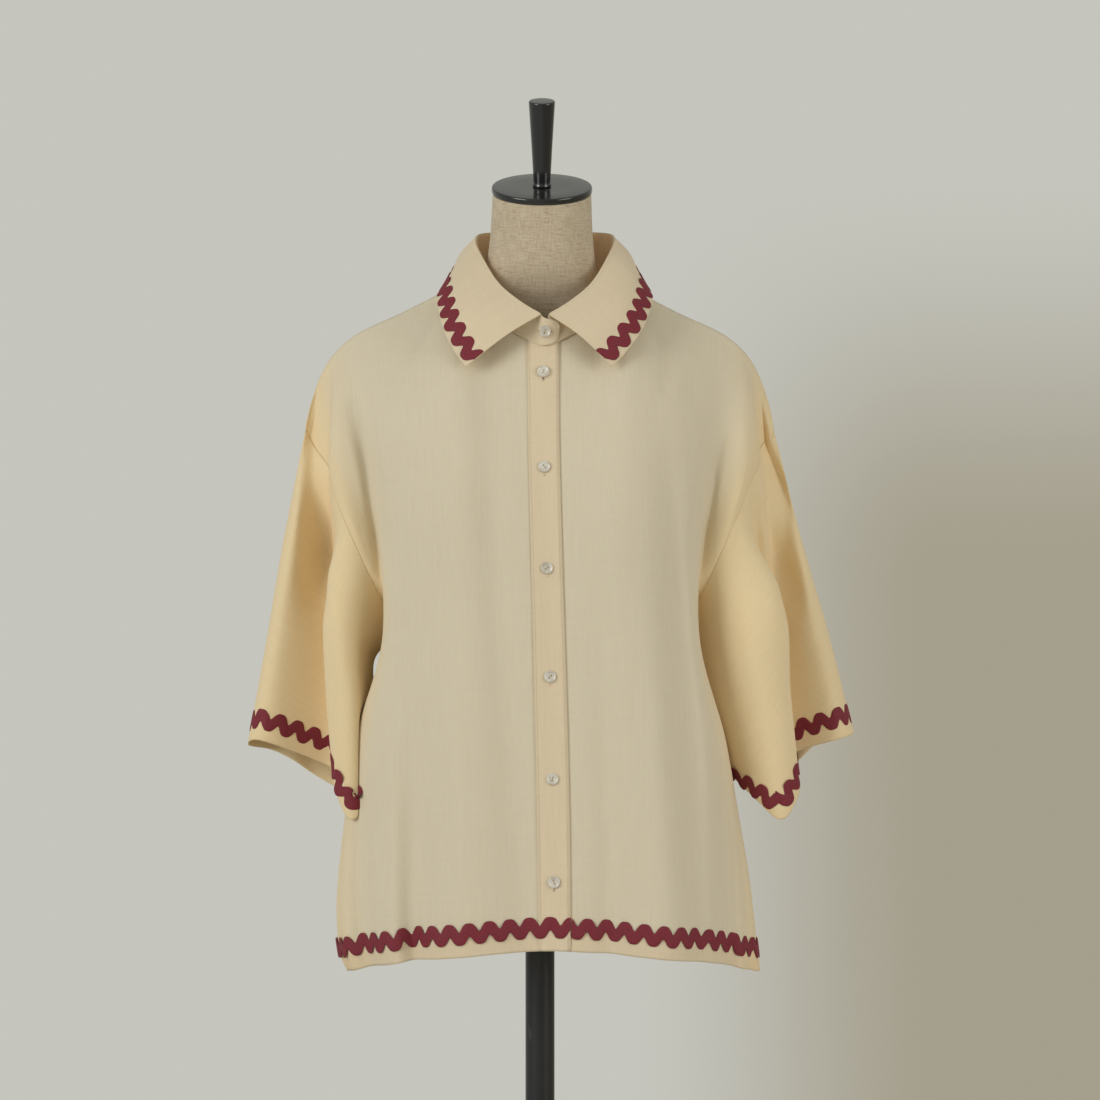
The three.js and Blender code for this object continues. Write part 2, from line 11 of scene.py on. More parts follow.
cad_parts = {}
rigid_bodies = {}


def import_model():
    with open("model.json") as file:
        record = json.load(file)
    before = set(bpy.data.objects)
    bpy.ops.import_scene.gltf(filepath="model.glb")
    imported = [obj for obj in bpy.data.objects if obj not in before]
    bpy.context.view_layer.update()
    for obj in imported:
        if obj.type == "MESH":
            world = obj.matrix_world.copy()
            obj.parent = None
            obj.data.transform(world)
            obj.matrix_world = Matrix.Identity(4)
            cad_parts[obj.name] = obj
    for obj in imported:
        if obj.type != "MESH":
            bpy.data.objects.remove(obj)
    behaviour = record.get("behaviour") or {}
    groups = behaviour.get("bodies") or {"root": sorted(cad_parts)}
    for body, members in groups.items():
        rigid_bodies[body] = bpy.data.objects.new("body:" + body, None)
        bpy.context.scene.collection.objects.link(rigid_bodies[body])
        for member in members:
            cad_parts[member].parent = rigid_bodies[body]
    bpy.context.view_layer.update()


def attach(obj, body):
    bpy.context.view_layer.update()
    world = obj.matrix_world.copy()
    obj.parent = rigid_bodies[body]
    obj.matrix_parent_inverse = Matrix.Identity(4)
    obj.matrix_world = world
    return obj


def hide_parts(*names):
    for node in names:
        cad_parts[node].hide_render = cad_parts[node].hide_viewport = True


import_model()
scene = bpy.context.scene
MM = 0.001


# ---- Camera ------------------------------------------------------------------
# Level, three metres in front of the form, with a long lens.
CAMERA_AWAY = 3.0
CAMERA_HEIGHT = 0.93
FIELD_AT_FORM = 1.1  # metres of the view at the form's distance
SENSOR_WIDTH = 36

camera_data = bpy.data.cameras.new("camera")
camera_data.sensor_width = SENSOR_WIDTH
camera_data.lens = SENSOR_WIDTH * CAMERA_AWAY / FIELD_AT_FORM
camera = bpy.data.objects.new("camera", camera_data)
camera.location = (0.010, -CAMERA_AWAY, CAMERA_HEIGHT)
camera.rotation_euler = (math.radians(90), 0, 0)
scene.collection.objects.link(camera)
scene.camera = camera


# ---- Studio ------------------------------------------------------------------
# A pale round floor, a pale grey surround that is lighter on the window side and has
# a painted shadow on its lower right, one large soft window light and a weak fill.
FLOOR_RADIUS = 1500
FLOOR_SIDES = 96


def put(tree, value, socket):
    """Joins an output to an input, or sets the input to a plain value."""
    if isinstance(value, bpy.types.NodeSocket):
        tree.links.new(value, socket)
    else:
        socket.default_value = value


def node(tree, kind, **inputs):
    made = tree.nodes.new(kind)
    for name, value in inputs.items():
        put(tree, value, made.inputs[name.replace("_", " ")])
    return made


def math_node(tree, operation, a, b=0.0):
    made = tree.nodes.new("ShaderNodeMath")
    made.operation = operation
    put(tree, a, made.inputs[0])
    put(tree, b, made.inputs[1])
    return made.outputs[0]


def mixed(tree, factor, a, b, blend="MIX"):
    made = tree.nodes.new("ShaderNodeMix")
    made.data_type = "RGBA"
    made.blend_type = blend
    for name, value in (("Factor", factor), ("A", a), ("B", b)):
        put(tree, value, made.inputs[name])
    return made.outputs["Result"]


def smooth_step(tree, value, start, end):
    made = node(tree, "ShaderNodeMapRange", Value=value, From_Min=start, From_Max=end)
    made.interpolation_type = "SMOOTHSTEP"
    return made.outputs["Result"]


def principled(name, **looks):
    """A material whose shader has the given looks all over, such as Coat_Weight=0.25."""
    material = bpy.data.materials.new(name)
    material.use_nodes = True
    shader = material.node_tree.nodes["Principled BSDF"]
    for look, value in looks.items():
        shader.inputs[look.replace("_", " ")].default_value = value
    return material, material.node_tree, shader


def new_object(name, points_mm, faces, smooth=True):
    mesh = bpy.data.meshes.new(name)
    mesh.from_pydata([tuple(c * MM for c in p) for p in points_mm], [], faces)
    mesh.update()
    if smooth:
        mesh.polygons.foreach_set("use_smooth", [True] * len(mesh.polygons))
    piece = bpy.data.objects.new(name, mesh)
    scene.collection.objects.link(piece)
    return piece


scene.view_settings.view_transform = "Standard"
world = bpy.data.worlds.new("pale_surround")
world.use_nodes = True
scene.world = world
tree = world.node_tree
direction = tree.nodes.new("ShaderNodeTexCoord").outputs["Generated"]
split = node(tree, "ShaderNodeSeparateXYZ", Vector=direction)
# The shade mask paints a shadow on the lower right of the surround.
shade = math_node(tree, "MULTIPLY", smooth_step(tree, split.outputs["X"], 0.02, 0.13),
                  smooth_step(tree, split.outputs["Z"], 0.13, -0.01))
wall = mixed(tree, shade, (0.560, 0.560, 0.510, 1), (0.375, 0.345, 0.265, 1))
seen = tree.nodes.new("ShaderNodeLightPath").outputs["Is Camera Ray"]
strength = node(tree, "ShaderNodeMapRange", Value=seen, To_Min=0.72, To_Max=1.0)
put(tree, wall, tree.nodes["Background"].inputs["Color"])
put(tree, strength.outputs["Result"], tree.nodes["Background"].inputs["Strength"])

rim = [(FLOOR_RADIUS * math.cos(a), FLOOR_RADIUS * math.sin(a), 0)
       for a in np.linspace(0, 2 * math.pi, FLOOR_SIDES, endpoint=False)]
floor = new_object("floor", rim, [tuple(range(FLOOR_SIDES))], smooth=False)
floor.data.materials.append(principled("pale_floor", Base_Color=(0.55, 0.54, 0.50, 1), Roughness=0.8)[0])


def soft_light(name, place, aim, size, watts, colour):
    lamp = bpy.data.lights.new(name, "AREA")
    lamp.size = size
    lamp.energy = watts
    lamp.color = colour
    holder = bpy.data.objects.new(name, lamp)
    holder.location = place
    holder.rotation_euler = (Vector(aim) - Vector(place)).to_track_quat("-Z", "Y").to_euler()
    scene.collection.objects.link(holder)


soft_light("window", (-2.8, -2.5, 1.9), (0, 0, 0.95), 1.8, 62, (1.0, 0.99, 0.965))
soft_light("fill", (2.8, -2.2, 1.5), (0, 0, 0.95), 1.8, 38, (1.0, 0.98, 0.94))


# ---- Stand -------------------------------------------------------------------
# A steel pole on a round steel plate, both painted satin black. The paint has
# fine scuffs where the height clamp and hands have rubbed it.
POLE_RADIUS = 14.5
BASE_RADIUS = 165
BASE_THICK = 12
FORM_FOOT = 600


def turned(name, profile, sides=96, place=Matrix.Identity(4)):
    """A solid turned on a lathe. The profile runs from the axis round to the axis."""
    points = []
    faces = []
    rings = profile[1:-1]
    for radius, height in rings:
        for k in range(sides):
            a = 2 * math.pi * k / sides
            points.append(place @ Vector((radius * math.cos(a), radius * math.sin(a), height)))
    for r in range(len(rings) - 1):
        for k in range(sides):
            n = (k + 1) % sides
            faces.append((r * sides + k, r * sides + n, (r + 1) * sides + n, (r + 1) * sides + k))
    points.append(place @ Vector((0, 0, profile[0][1])))
    points.append(place @ Vector((0, 0, profile[-1][1])))
    last = (len(rings) - 1) * sides
    for k in range(sides):
        n = (k + 1) % sides
        faces.append((len(points) - 2, n, k))
        faces.append((len(points) - 1, last + k, last + n))
    piece = new_object(name, points, faces)
    piece.data.set_sharp_from_angle(angle=math.radians(40))
    return piece


def arc(centre_r, centre_z, radius, start, end, steps=5):
    angles = [math.radians(start + (end - start) * k / steps) for k in range(steps + 1)]
    return [(centre_r + radius * math.cos(a), centre_z + radius * math.sin(a)) for a in angles]


def noise_on(tree, vector, scale, detail=4.0, stretch=(1, 1, 1)):
    mapping = node(tree, "ShaderNodeMapping", Vector=vector, Scale=stretch)
    noise = node(tree, "ShaderNodeTexNoise", Vector=mapping.outputs["Vector"], Scale=scale, Detail=detail)
    return noise.outputs["Fac"]


def ramp_between(tree, factor, low, high, stops=(0.0, 1.0)):
    ramp = tree.nodes.new("ShaderNodeValToRGB")
    ramp.color_ramp.elements[0].position, ramp.color_ramp.elements[1].position = stops
    ramp.color_ramp.elements[0].color = (*low, 1)
    ramp.color_ramp.elements[1].color = (*high, 1)
    put(tree, factor, ramp.inputs["Fac"])
    return ramp.outputs["Color"]


def shares(tree, a, share_of_a, b, share_of_b):
    """The sum of two patterns, each times its share."""
    return math_node(tree, "ADD", math_node(tree, "MULTIPLY", a, share_of_a),
                     math_node(tree, "MULTIPLY", b, share_of_b))


def bump_from(tree, height, strength, distance):
    bump = node(tree, "ShaderNodeBump", Height=height, Strength=strength, Distance=distance)
    return bump.outputs["Normal"]


def finished(piece, slot, *parts):
    """Says which parts a piece stands for and what it rides on. The slot, its finish, is not used."""
    if parts:
        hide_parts(*parts)
    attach(piece, "root")


def black_paint(name, roughness, scuffs, coat, coat_roughness):
    material, tree, shader = principled(name, Coat_Weight=coat, Coat_Roughness=coat_roughness)
    place = tree.nodes.new("ShaderNodeTexCoord").outputs["Object"]
    drawn = noise_on(tree, place, 260, 5, (1, 1, 0.06))
    broad = noise_on(tree, place, 35, 3)
    mask = math_node(tree, "MULTIPLY", drawn, broad)
    colour = ramp_between(tree, mask, (0.010, 0.0105, 0.012), (0.075, 0.075, 0.08), (0.40, 0.40 + scuffs))
    put(tree, colour, shader.inputs["Base Color"])
    gloss = math_node(tree, "ADD", math_node(tree, "MULTIPLY", broad, 0.22), roughness - 0.11)
    put(tree, gloss, shader.inputs["Roughness"])
    orange_peel = noise_on(tree, place, 900, 2)
    put(tree, bump_from(tree, orange_peel, 0.12, 0.0002), shader.inputs["Normal"])
    return material


satin_black = black_paint("satin_black_paint", 0.36, 0.16, 0.25, 0.18)

pole_top = FORM_FOOT - 0.3
pole = turned("stand_pole", [
    (0, BASE_THICK), (24, BASE_THICK), *arc(22, BASE_THICK + 6, 2, 0, 60, 3),
    (POLE_RADIUS + 2, BASE_THICK + 10), (POLE_RADIUS, BASE_THICK + 12), (POLE_RADIUS, 320),
    (POLE_RADIUS, pole_top), (0, pole_top)])

base = turned("stand_base_plate", [
    (0, 0), (BASE_RADIUS - 2, 0), *arc(BASE_RADIUS - 2, 2, 2, -90, 0, 3),
    *arc(BASE_RADIUS - 4, BASE_THICK - 4, 4, 0, 90, 5),
    (60, BASE_THICK - 0.2), (40, BASE_THICK), (0, BASE_THICK)], 144)
for piece, part in ((pole, "pole"), (base, "stand_base")):
    piece.data.materials.append(satin_black)
    finished(piece, "black_metal", part)


# ---- Dress form --------------------------------------------------------------
# A moulded torso with no arms or head, covered all over in coarse unbleached
# linen that is stretched and glued, with its seams down the sides of the neck.
# Rings: height, half width, reach to the front and back, how far forward, slope.
CAP_TILT = math.radians(22)
CAP_CENTRE = Vector((2, -13, 1286))
FORM_RINGS = [
    (FORM_FOOT, 148, 86, 94, 0, 0), (650, 156, 90, 102, 0, 0), (735, 136, 84, 86, 0, 0),
    (800, 114, 78, 72, 0, 0), (860, 120, 92, 76, 0, 0), (920, 134, 106, 86, 0, 0),
    (965, 141, 110, 92, 0, 0), (1010, 147, 101, 96, 0, 0), (1056, 158, 84, 94, 0, 0),
    (1094, 176, 58, 70, 0, 0), (1119, 187, 36, 44, 0, 0), (1136, 168, 28, 32, 0, 0),
    (1151, 136, 27, 28, 0, 0), (1165, 106, 28, 29, 0, 0.02), (1179, 78, 32, 34, 1, 0.05),
    (1195, 61, 40, 42, 3, 0.1), (1214, 55, 45, 46, 6, 0.18), (1244, 51, 46, 47, 10, 0.3),
    (CAP_CENTRE.z, 49, 45, 46, 13, math.tan(CAP_TILT))]
FORM_FULLNESS = 0.9


def on_curve(points, position):
    """A point on a smooth curve through evenly numbered points."""
    last = len(points) - 1
    k = min(int(position), last - 1)
    t = position - k
    a, b = points[k], points[k + 1]
    slope_a = (b - points[max(k - 1, 0)]) / 2
    slope_b = (points[min(k + 2, last)] - a) / 2
    p = 2 * a - 2 * b + slope_a + slope_b
    q = 3 * (b - a) - 2 * slope_a - slope_b
    return ((p * t + q) * t + slope_a) * t + a


def form_surface(sides, per_ring):
    rings = np.array(FORM_RINGS, float)
    levels = np.linspace(0, len(rings) - 1, (len(rings) - 1) * per_ring + 1)
    points = []
    for level in levels:
        height, half, front, behind, forward, slope = on_curve(rings, level)
        for k in range(sides):
            a = 2 * math.pi * k / sides
            squared = [math.copysign(abs(v) ** FORM_FULLNESS, v) for v in (math.cos(a), math.sin(a))]
            y = squared[1] * (front if squared[1] < 0 else behind)
            lean = CAP_CENTRE.x * forward / 13
            points.append((squared[0] * half + lean, y - forward, height + y * slope))
    return points, len(levels)


FORM_SIDES = 96
form_points, form_levels = form_surface(FORM_SIDES, 5)
form_faces = [(r * FORM_SIDES + k, r * FORM_SIDES + (k + 1) % FORM_SIDES,
               (r + 1) * FORM_SIDES + (k + 1) % FORM_SIDES, (r + 1) * FORM_SIDES + k)
              for r in range(form_levels - 1) for k in range(FORM_SIDES)]
form_faces.append(tuple(range(FORM_SIDES))[::-1])
form_faces.append(tuple((form_levels - 1) * FORM_SIDES + k for k in range(FORM_SIDES)))
form = new_object("linen_torso", form_points, form_faces)
form.data.set_sharp_from_angle(angle=math.radians(50))


def add_uv(piece, flat_mm):
    """Gives each point its place on the flat cloth, in metres, as a UV map."""
    layer = piece.data.uv_layers.new(name="cloth")
    for loop in piece.data.loops:
        u, v = flat_mm[loop.vertex_index]
        layer.data[loop.index].uv = (u * MM, v * MM)


def linen():
    material, tree, shader = principled("unbleached_linen", Roughness=0.95, Sheen_Weight=0.15)
    flat = tree.nodes.new("ShaderNodeUVMap").outputs["UV"]
    warp = noise_on(tree, flat, 1.0, 3, (760, 90, 1))
    weft = noise_on(tree, flat, 1.0, 3, (90, 760, 1))
    threads = math_node(tree, "ADD", warp, weft)
    slubs = noise_on(tree, flat, 1.0, 4, (90, 700, 1))
    blotch = noise_on(tree, flat, 30, 3)
    tone = shares(tree, threads, 0.42, blotch, 0.16)
    colour = ramp_between(tree, tone, (0.41, 0.325, 0.215), (0.68, 0.585, 0.435), (0.30, 0.70))
    dark = ramp_between(tree, slubs, (0.72, 0.67, 0.61), (1, 1, 1), (0.30, 0.42))
    put(tree, mixed(tree, 1.0, colour, dark, "MULTIPLY"), shader.inputs["Base Color"])
    put(tree, bump_from(tree, threads, 0.35, 0.0005), shader.inputs["Normal"])
    return material


around_mm = 52 * 2 * math.pi
form_flat = []
for index, point in enumerate(form_points):
    form_flat.append(((index % FORM_SIDES) / FORM_SIDES * around_mm, point[2]))
add_uv(form, form_flat + [(0, 0)] * 2)
form.data.materials.append(linen())
finished(form, "linen", "dress_form")


# ---- Neck cap and handle -----------------------------------------------------
# Turned wood in gloss black lacquer. The cap closes the sloping cut end of the
# neck, and the tapered handle for lifting the form is screwed into it.
CAP_RADIUS = 50
CAP_THICK = 6
HANDLE_LENGTH = 86

gloss_black = black_paint("gloss_black_lacquer", 0.2, 0.4, 0.6, 0.12)

square_to_neck = Matrix.Translation(CAP_CENTRE) @ Matrix.Rotation(CAP_TILT, 4, "X")
cap = turned("lacquered_neck_cap", [
    (0, 0.5), (CAP_RADIUS - 1.2, 0.5), *arc(CAP_RADIUS - 1.2, 1.7, 1.2, -90, 0, 3),
    *arc(CAP_RADIUS - 1.8, CAP_THICK - 1.3, 1.8, 0, 90, 5), (30, CAP_THICK + 0.5), (0, CAP_THICK + 0.5)],
    128, square_to_neck)
foot = CAP_THICK + 0.8
handle = turned("lacquered_handle", [
    (0, foot), (8.8, foot), (9.3, foot + 0.6), (9.3, foot + 1.6),
    (8.6, foot + 2.6), (8.3, foot + 3.4), (8.5, foot + 5), (9.2, foot + 18), (10.2, foot + 38),
    (11.4, foot + 58), (12.6, foot + 78),
    *arc(11.6, foot + HANDLE_LENGTH - 1.4, 1.4, 0, 90, 5),
    (5, foot + HANDLE_LENGTH), (0, foot + HANDLE_LENGTH)],
    64, square_to_neck)
for piece, part in ((cap, "neck_cap"), (handle, "cap_handle")):
    piece.data.materials.append(gloss_black)
    finished(piece, "black_lacquer", part)


# ---- Shirt: cut and drape ----------------------------------------------------
# Fronts and back are wide T-shaped panels joined at dropped shoulders, with short
# square sleeves. The cloth first lies near the drape lines of the solid model,
# then a cloth simulation lets its own weight settle it on the form.
HALF_WIDTH = 295
NECK_HALF = 80
SHOULDER_DROP = 70
ARMHOLE = 268
SIDE_SEAM = 322
FRONT_NECK = 95
BACK_NECK = 18
SLEEVE_LENGTH = 310
CUFF_HALF = 240
SLEEVE_SLOPE = math.radians(28)
PLACKET_HALF = 18
HEM_TURN = 29

LINE_AT = [0, 45, 80, 139, 188, 227, 266, HALF_WIDTH]
FRONT_LINES = np.array([
    [(0, -82, 1130), (0, -108, 1055), (0, -122, 975), (0, -126, 880), (0, -131, 770),
     (0, -138, 662), (0, -145, 550)],
    [(46, -62, 1156), (45, -104, 1068), (45, -126, 982), (45, -130, 880), (46, -136, 768),
     (46, -143, 658), (45, -150, 548)],
    [(77, -2, 1198), (82, -93, 1108), (82, -128, 1000), (80, -130, 880), (80, -136, 765),
     (80, -143, 655), (79, -150, 545)],
    [(138, -2, 1168), (136, -80, 1084), (132, -108, 985), (130, -110, 870), (134, -118, 758),
     (136, -128, 648), (138, -138, 538)],
    [(184, 0, 1146), (178, -56, 1060), (158, -78, 972), (150, -88, 858), (166, -92, 750),
     (174, -97, 640), (178, -108, 530)],
    [(214, 4, 1118), (200, -60, 1036), (164, -60, 950), (152, -66, 850), (182, -60, 745),
     (196, -65, 634), (206, -78, 522)],
    [(229, 8, 1083), (206, -57, 1012), (170, -64, 926), (141, -34, 847), (178, -22, 742),
     (204, -28, 630), (217, -42, 517)],
    [(236, 10, 1052), (203, -52, 988), (168, -60, 910), (138, 2, 843), (168, 4, 738),
     (198, 2, 628), (214, -6, 514)]], float)
BACK_LINES = np.array([
    [(0, 64, 1216), (0, 104, 1110), (0, 116, 1010), (0, 122, 900), (0, 126, 782), (0, 131, 670),
     (0, 138, 560)],
    [(46, 52, 1212), (45, 100, 1108), (46, 116, 1008), (46, 124, 898), (46, 128, 780),
     (46, 132, 668), (46, 138, 558)],
    [(77, -2, 1198), (82, 88, 1104), (84, 108, 1002), (82, 118, 892), (82, 124, 775),
     (82, 128, 664), (83, 133, 554)],
    [(138, -2, 1168), (137, 72, 1084), (134, 92, 986), (126, 98, 876), (132, 108, 762),
     (138, 114, 652), (140, 118, 542)],
    [(184, 0, 1146), (178, 56, 1062), (158, 70, 972), (150, 76, 862), (166, 86, 752),
     (175, 92, 642), (178, 94, 532)],
    [(214, 4, 1118), (203, 56, 1042), (168, 54, 956), (150, 58, 852), (180, 60, 746),
     (196, 66, 635), (203, 66, 523)],
    [(229, 8, 1083), (214, 54, 1014), (178, 60, 931), (139, 30, 848), (178, 30, 743),
     (204, 34, 631), (216, 32, 518)],
    [(236, 10, 1052), (216, 50, 990), (182, 58, 915), (138, 2, 843), (168, 4, 738), (198, 2, 628),
     (214, -6, 514)]], float)
# Twelve points round each sleeve, from the outer fold down the front to the underarm
# and up the back, at a third, two thirds and the end of the sleeve.
LEFT_SLEEVE = np.array([
    [(262, 20, 945), (249, -14, 936), (218, 4, 914), (238, -58, 886), (208, -80, 852), (178, -56, 826),
     (146, 0, 800), (160, 34, 816), (194, 64, 848), (214, 68, 880), (230, 56, 908), (249, 52, 934)],
    [(291, 24, 845), (276, -12, 840), (232, 8, 818), (247, -54, 790), (224, -72, 758), (192, -50, 748),
     (152, -2, 742), (164, 30, 752), (208, 60, 772), (233, 66, 790), (248, 50, 816), (270, 54, 838)],
    [(316, 28, 746), (300, -8, 743), (246, 6, 724), (257, -46, 700), (238, -66, 668), (214, -52, 686),
     (184, -8, 716), (194, 26, 712), (222, 54, 700), (250, 62, 704), (268, 48, 723), (292, 56, 742)]], float)
RIGHT_SLEEVE = np.array([
    [(257, 22, 945), (246, -16, 938), (204, 8, 916), (211, -56, 892), (197, -78, 862), (178, -62, 838),
     (166, 2, 820), (180, 36, 834), (190, 62, 846), (210, 68, 878), (226, 54, 908), (244, 52, 932)],
    [(275, 24, 842), (260, -14, 840), (204, 10, 816), (211, -54, 800), (192, -76, 770), (172, -64, 752),
     (160, 0, 748), (176, 32, 756), (196, 58, 770), (222, 64, 796), (240, 52, 818), (258, 54, 836)],
    [(294, 26, 734), (277, -10, 741), (206, 12, 712), (203, -54, 704), (187, -74, 670), (172, -66, 676),
     (164, -4, 690), (182, 24, 690), (202, 54, 688), (230, 62, 702), (252, 52, 718), (274, 54, 728)]], float)

NECK_STEPS = 8
WIDTH_STEPS = 38
ARMHOLE_STEPS = 36
SIDE_STEPS = 42
SLEEVE_STEPS = 40
ROWS = ARMHOLE_STEPS + SIDE_STEPS
COLUMN_AT = [0, 9, PLACKET_HALF] + list(np.linspace(PLACKET_HALF, NECK_HALF, NECK_STEPS - 1))[1:]
COLUMN_AT += list(np.linspace(NECK_HALF, HALF_WIDTH, WIDTH_STEPS - NECK_STEPS + 1))[1:]
UNDERARM_AT = SHOULDER_DROP + ARMHOLE
HEM_AT = UNDERARM_AT + SIDE_SEAM


# Soft folds of the body: which panel, where on the flat cloth at the shoulder and at
# the hem, how wide and how deep, and the levels between which they fade in.
FOLDS = [
    (0, -64, -26, 14, 6.5, 1.2, 2.6), (0, -142, -132, 16, 13, 2.8, 5.2), (0, 40, 60, 14, 8, 2.4, 4.6),
    (0, 122, 150, 16, 11, 1.2, 3.0), (0, 214, 190, 14, 13, 2.8, 5.2), (0, -216, -196, 15, 12, 2.8, 5.2),
    (0, 96, 110, 16, -5, 2.0, 4.6), (0, -98, -84, 16, -5, 2.4, 4.8),
    (0, -154, -138, 10, 8, 4.2, 5.9), (0, 38, 50, 11, 3, 4.6, 5.9), (0, 160, 172, 9, 8, 4.0, 5.9),
    (0, 236, 226, 9, 9, 4.0, 5.9), (0, -250, -242, 8, 7, 4.4, 5.9),
    (1, 0, 0, 26, 12, 1.6, 4.6), (1, 96, 100, 22, 13, 1.6, 4.6), (1, -104, -112, 24, 14, 1.6, 4.6),
    (1, -190, -196, 20, 9, 1.6, 4.6), (1, 186, 190, 20, 10, 1.6, 4.6)]
# The wearer's right side hangs closer in than the left near the hem.
SIDE_LEVELS = [0, 4, 5, 5.4, 5.75, 6]
SIDE_DRAWN_IN = [0, 0, 6, 9, 16, 27]


def cornered(points, position, corner):
    if position < corner:
        return on_curve(points[:corner + 1], position)
    return on_curve(points[corner:], position - corner)


def ease(t):
    t = min(max(t, 0.0), 1.0)
    return t * t * (3 - 2 * t)


def drape_point(lines, across, level):
    side = abs(across)
    place = np.interp(side, LINE_AT, range(8))
    row = np.array([cornered(line, level, 3) if k == 7 else on_curve(line, level)
                    for k, line in enumerate(lines)])
    sharp = cornered(row, place, 2)
    point = sharp + (on_curve(row, place) - sharp) * ease(level)
    if across < 0:
        point[0] *= -1
        point[0] += np.interp(level, SIDE_LEVELS, SIDE_DRAWN_IN) * ease((side - 90) / 170)
    layer = 0 if lines is FRONT_LINES else 1
    for panel, at_top, at_hem, wide, deep, starts, full in FOLDS:
        if panel == layer:
            middle = at_top + (at_hem - at_top) * level / 6
            near = math.exp(-((across - middle) / wide) ** 2)
            point[1] += (1 - 2 * layer) * deep * near * ease((level - starts) / (full - starts))
    if lines is FRONT_LINES:
        point[0] += ease((80 - side) / 60) * 3.5
        point[0] += ease((240 - side) / 120) * 11 * ease((level - 0.5) / 5.5)
    return point


def row_level(row):
    if row <= ARMHOLE_STEPS:
        return 3 * row / ARMHOLE_STEPS
    return 3 + 3 * (row - ARMHOLE_STEPS) / SIDE_STEPS


def flat_body(layer, column, row):
    """Where a point of the body lies on the flat shirt: across, and down from the collar."""
    side = COLUMN_AT[abs(column)]
    if side <= NECK_HALF:
        depth = FRONT_NECK if layer == 0 else BACK_NECK
        top = depth * math.sqrt(1 - (side / NECK_HALF) ** 2)
    else:
        top = SHOULDER_DROP * (side - NECK_HALF) / (HALF_WIDTH - NECK_HALF)
    if row <= ARMHOLE_STEPS:
        down = top + (UNDERARM_AT - top) * row / ARMHOLE_STEPS
    else:
        down = UNDERARM_AT + SIDE_SEAM * (row - ARMHOLE_STEPS) / SIDE_STEPS
    return math.copysign(side, column), down


def flat_sleeve(side, step, row):
    along = step / SLEEVE_STEPS
    top = np.array((HALF_WIDTH, SHOULDER_DROP + ARMHOLE * row / ARMHOLE_STEPS))
    run = np.array((math.cos(SLEEVE_SLOPE), math.sin(SLEEVE_SLOPE)))
    down = np.array((-math.sin(SLEEVE_SLOPE), math.cos(SLEEVE_SLOPE)))
    cuff = np.array((HALF_WIDTH, SHOULDER_DROP)) + SLEEVE_LENGTH * run
    cuff += CUFF_HALF * row / ARMHOLE_STEPS * down
    flat = top + (cuff - top) * along
    return side * flat[0], flat[1]


class Cloth:
    """All the cloth as one welded net, with its flat and its hanging places."""

    def __init__(self):
        self.hang = []
        self.flat = []
        self.index = {}
        self.faces = []

    def body_key(self, layer, column, row):
        on_shoulder = row == 0 and abs(column) >= NECK_STEPS
        on_side = abs(column) == WIDTH_STEPS and row >= ARMHOLE_STEPS
        return ("body", 0 if on_shoulder or on_side else layer, column, row)

    def sleeve_key(self, side, layer, step, row):
        if step == 0:
            return self.body_key(layer, side * WIDTH_STEPS, row)
        return ("sleeve", side, 0 if row in (0, ARMHOLE_STEPS) else layer, step, row)

    def add(self, key, hang, flat, shared, layer):
        if key not in self.index:
            self.index[key] = len(self.hang)
            self.hang.append(hang)
            self.flat.append((flat[0], 0 if shared else (-1, 1)[layer], -flat[1]))

    def at(self, key):
        return self.hang[self.index[key]]


cloth = Cloth()
for layer, lines in ((0, FRONT_LINES), (1, BACK_LINES)):
    for column in range(-WIDTH_STEPS, WIDTH_STEPS + 1):
        for row in range(ROWS + 1):
            key = cloth.body_key(layer, column, row)
            if key in cloth.index:
                continue
            across = math.copysign(COLUMN_AT[abs(column)], column)
            on_shoulder = row == 0 and abs(column) >= NECK_STEPS
            on_side = abs(column) == WIDTH_STEPS and row >= ARMHOLE_STEPS
            hang = drape_point(lines, across, row_level(row))
            cloth.add(key, hang, flat_body(layer, column, row), on_shoulder or on_side, layer)

for side in (-1, 1):
    rings = (LEFT_SLEEVE if side > 0 else RIGHT_SLEEVE) * (side, 1, 1)
    for layer, lines in ((0, FRONT_LINES), (1, BACK_LINES)):
        for row in range(ARMHOLE_STEPS + 1):
            turn = 6 * row / ARMHOLE_STEPS
            turn = turn if layer == 0 else 12 - turn
            first = int(turn) % 12
            seam = drape_point(lines, side * HALF_WIDTH, row_level(row))
            near = [(first + k) % 12 for k in (-1, 0, 1, 2)]
            column = [seam] + [on_curve(ring[near], 1 + turn - int(turn)) for ring in rings]
            for step in range(SLEEVE_STEPS + 1):
                key = cloth.sleeve_key(side, layer, step, row)
                hang = on_curve(np.array(column), 3 * step / SLEEVE_STEPS)
                cloth.add(key, hang, flat_sleeve(side, step, row), row in (0, ARMHOLE_STEPS), layer)


# Creases given one by one on the front: the side, heights and distances from the middle
# that they run through, how deep the cloth is tucked behind them, how far it is drawn
# in under them, and how far the tuck reaches.
CREASES = [
    (1, (1142, 1080, 1000, 920, 850), (204, 214, 225, 234, 243), 30, 5, 34),
    (-1, (1142, 1080, 1000, 920, 850), (206, 209, 211, 211, 209), 30, 5, 34),
    (-1, (1110, 1050, 990, 930, 880), (196, 182, 170, 161, 156), -12, 0, 26),
    (1, (1090, 1030, 980, 930, 890), (196, 180, 170, 162, 156), -8, 0, 24)]


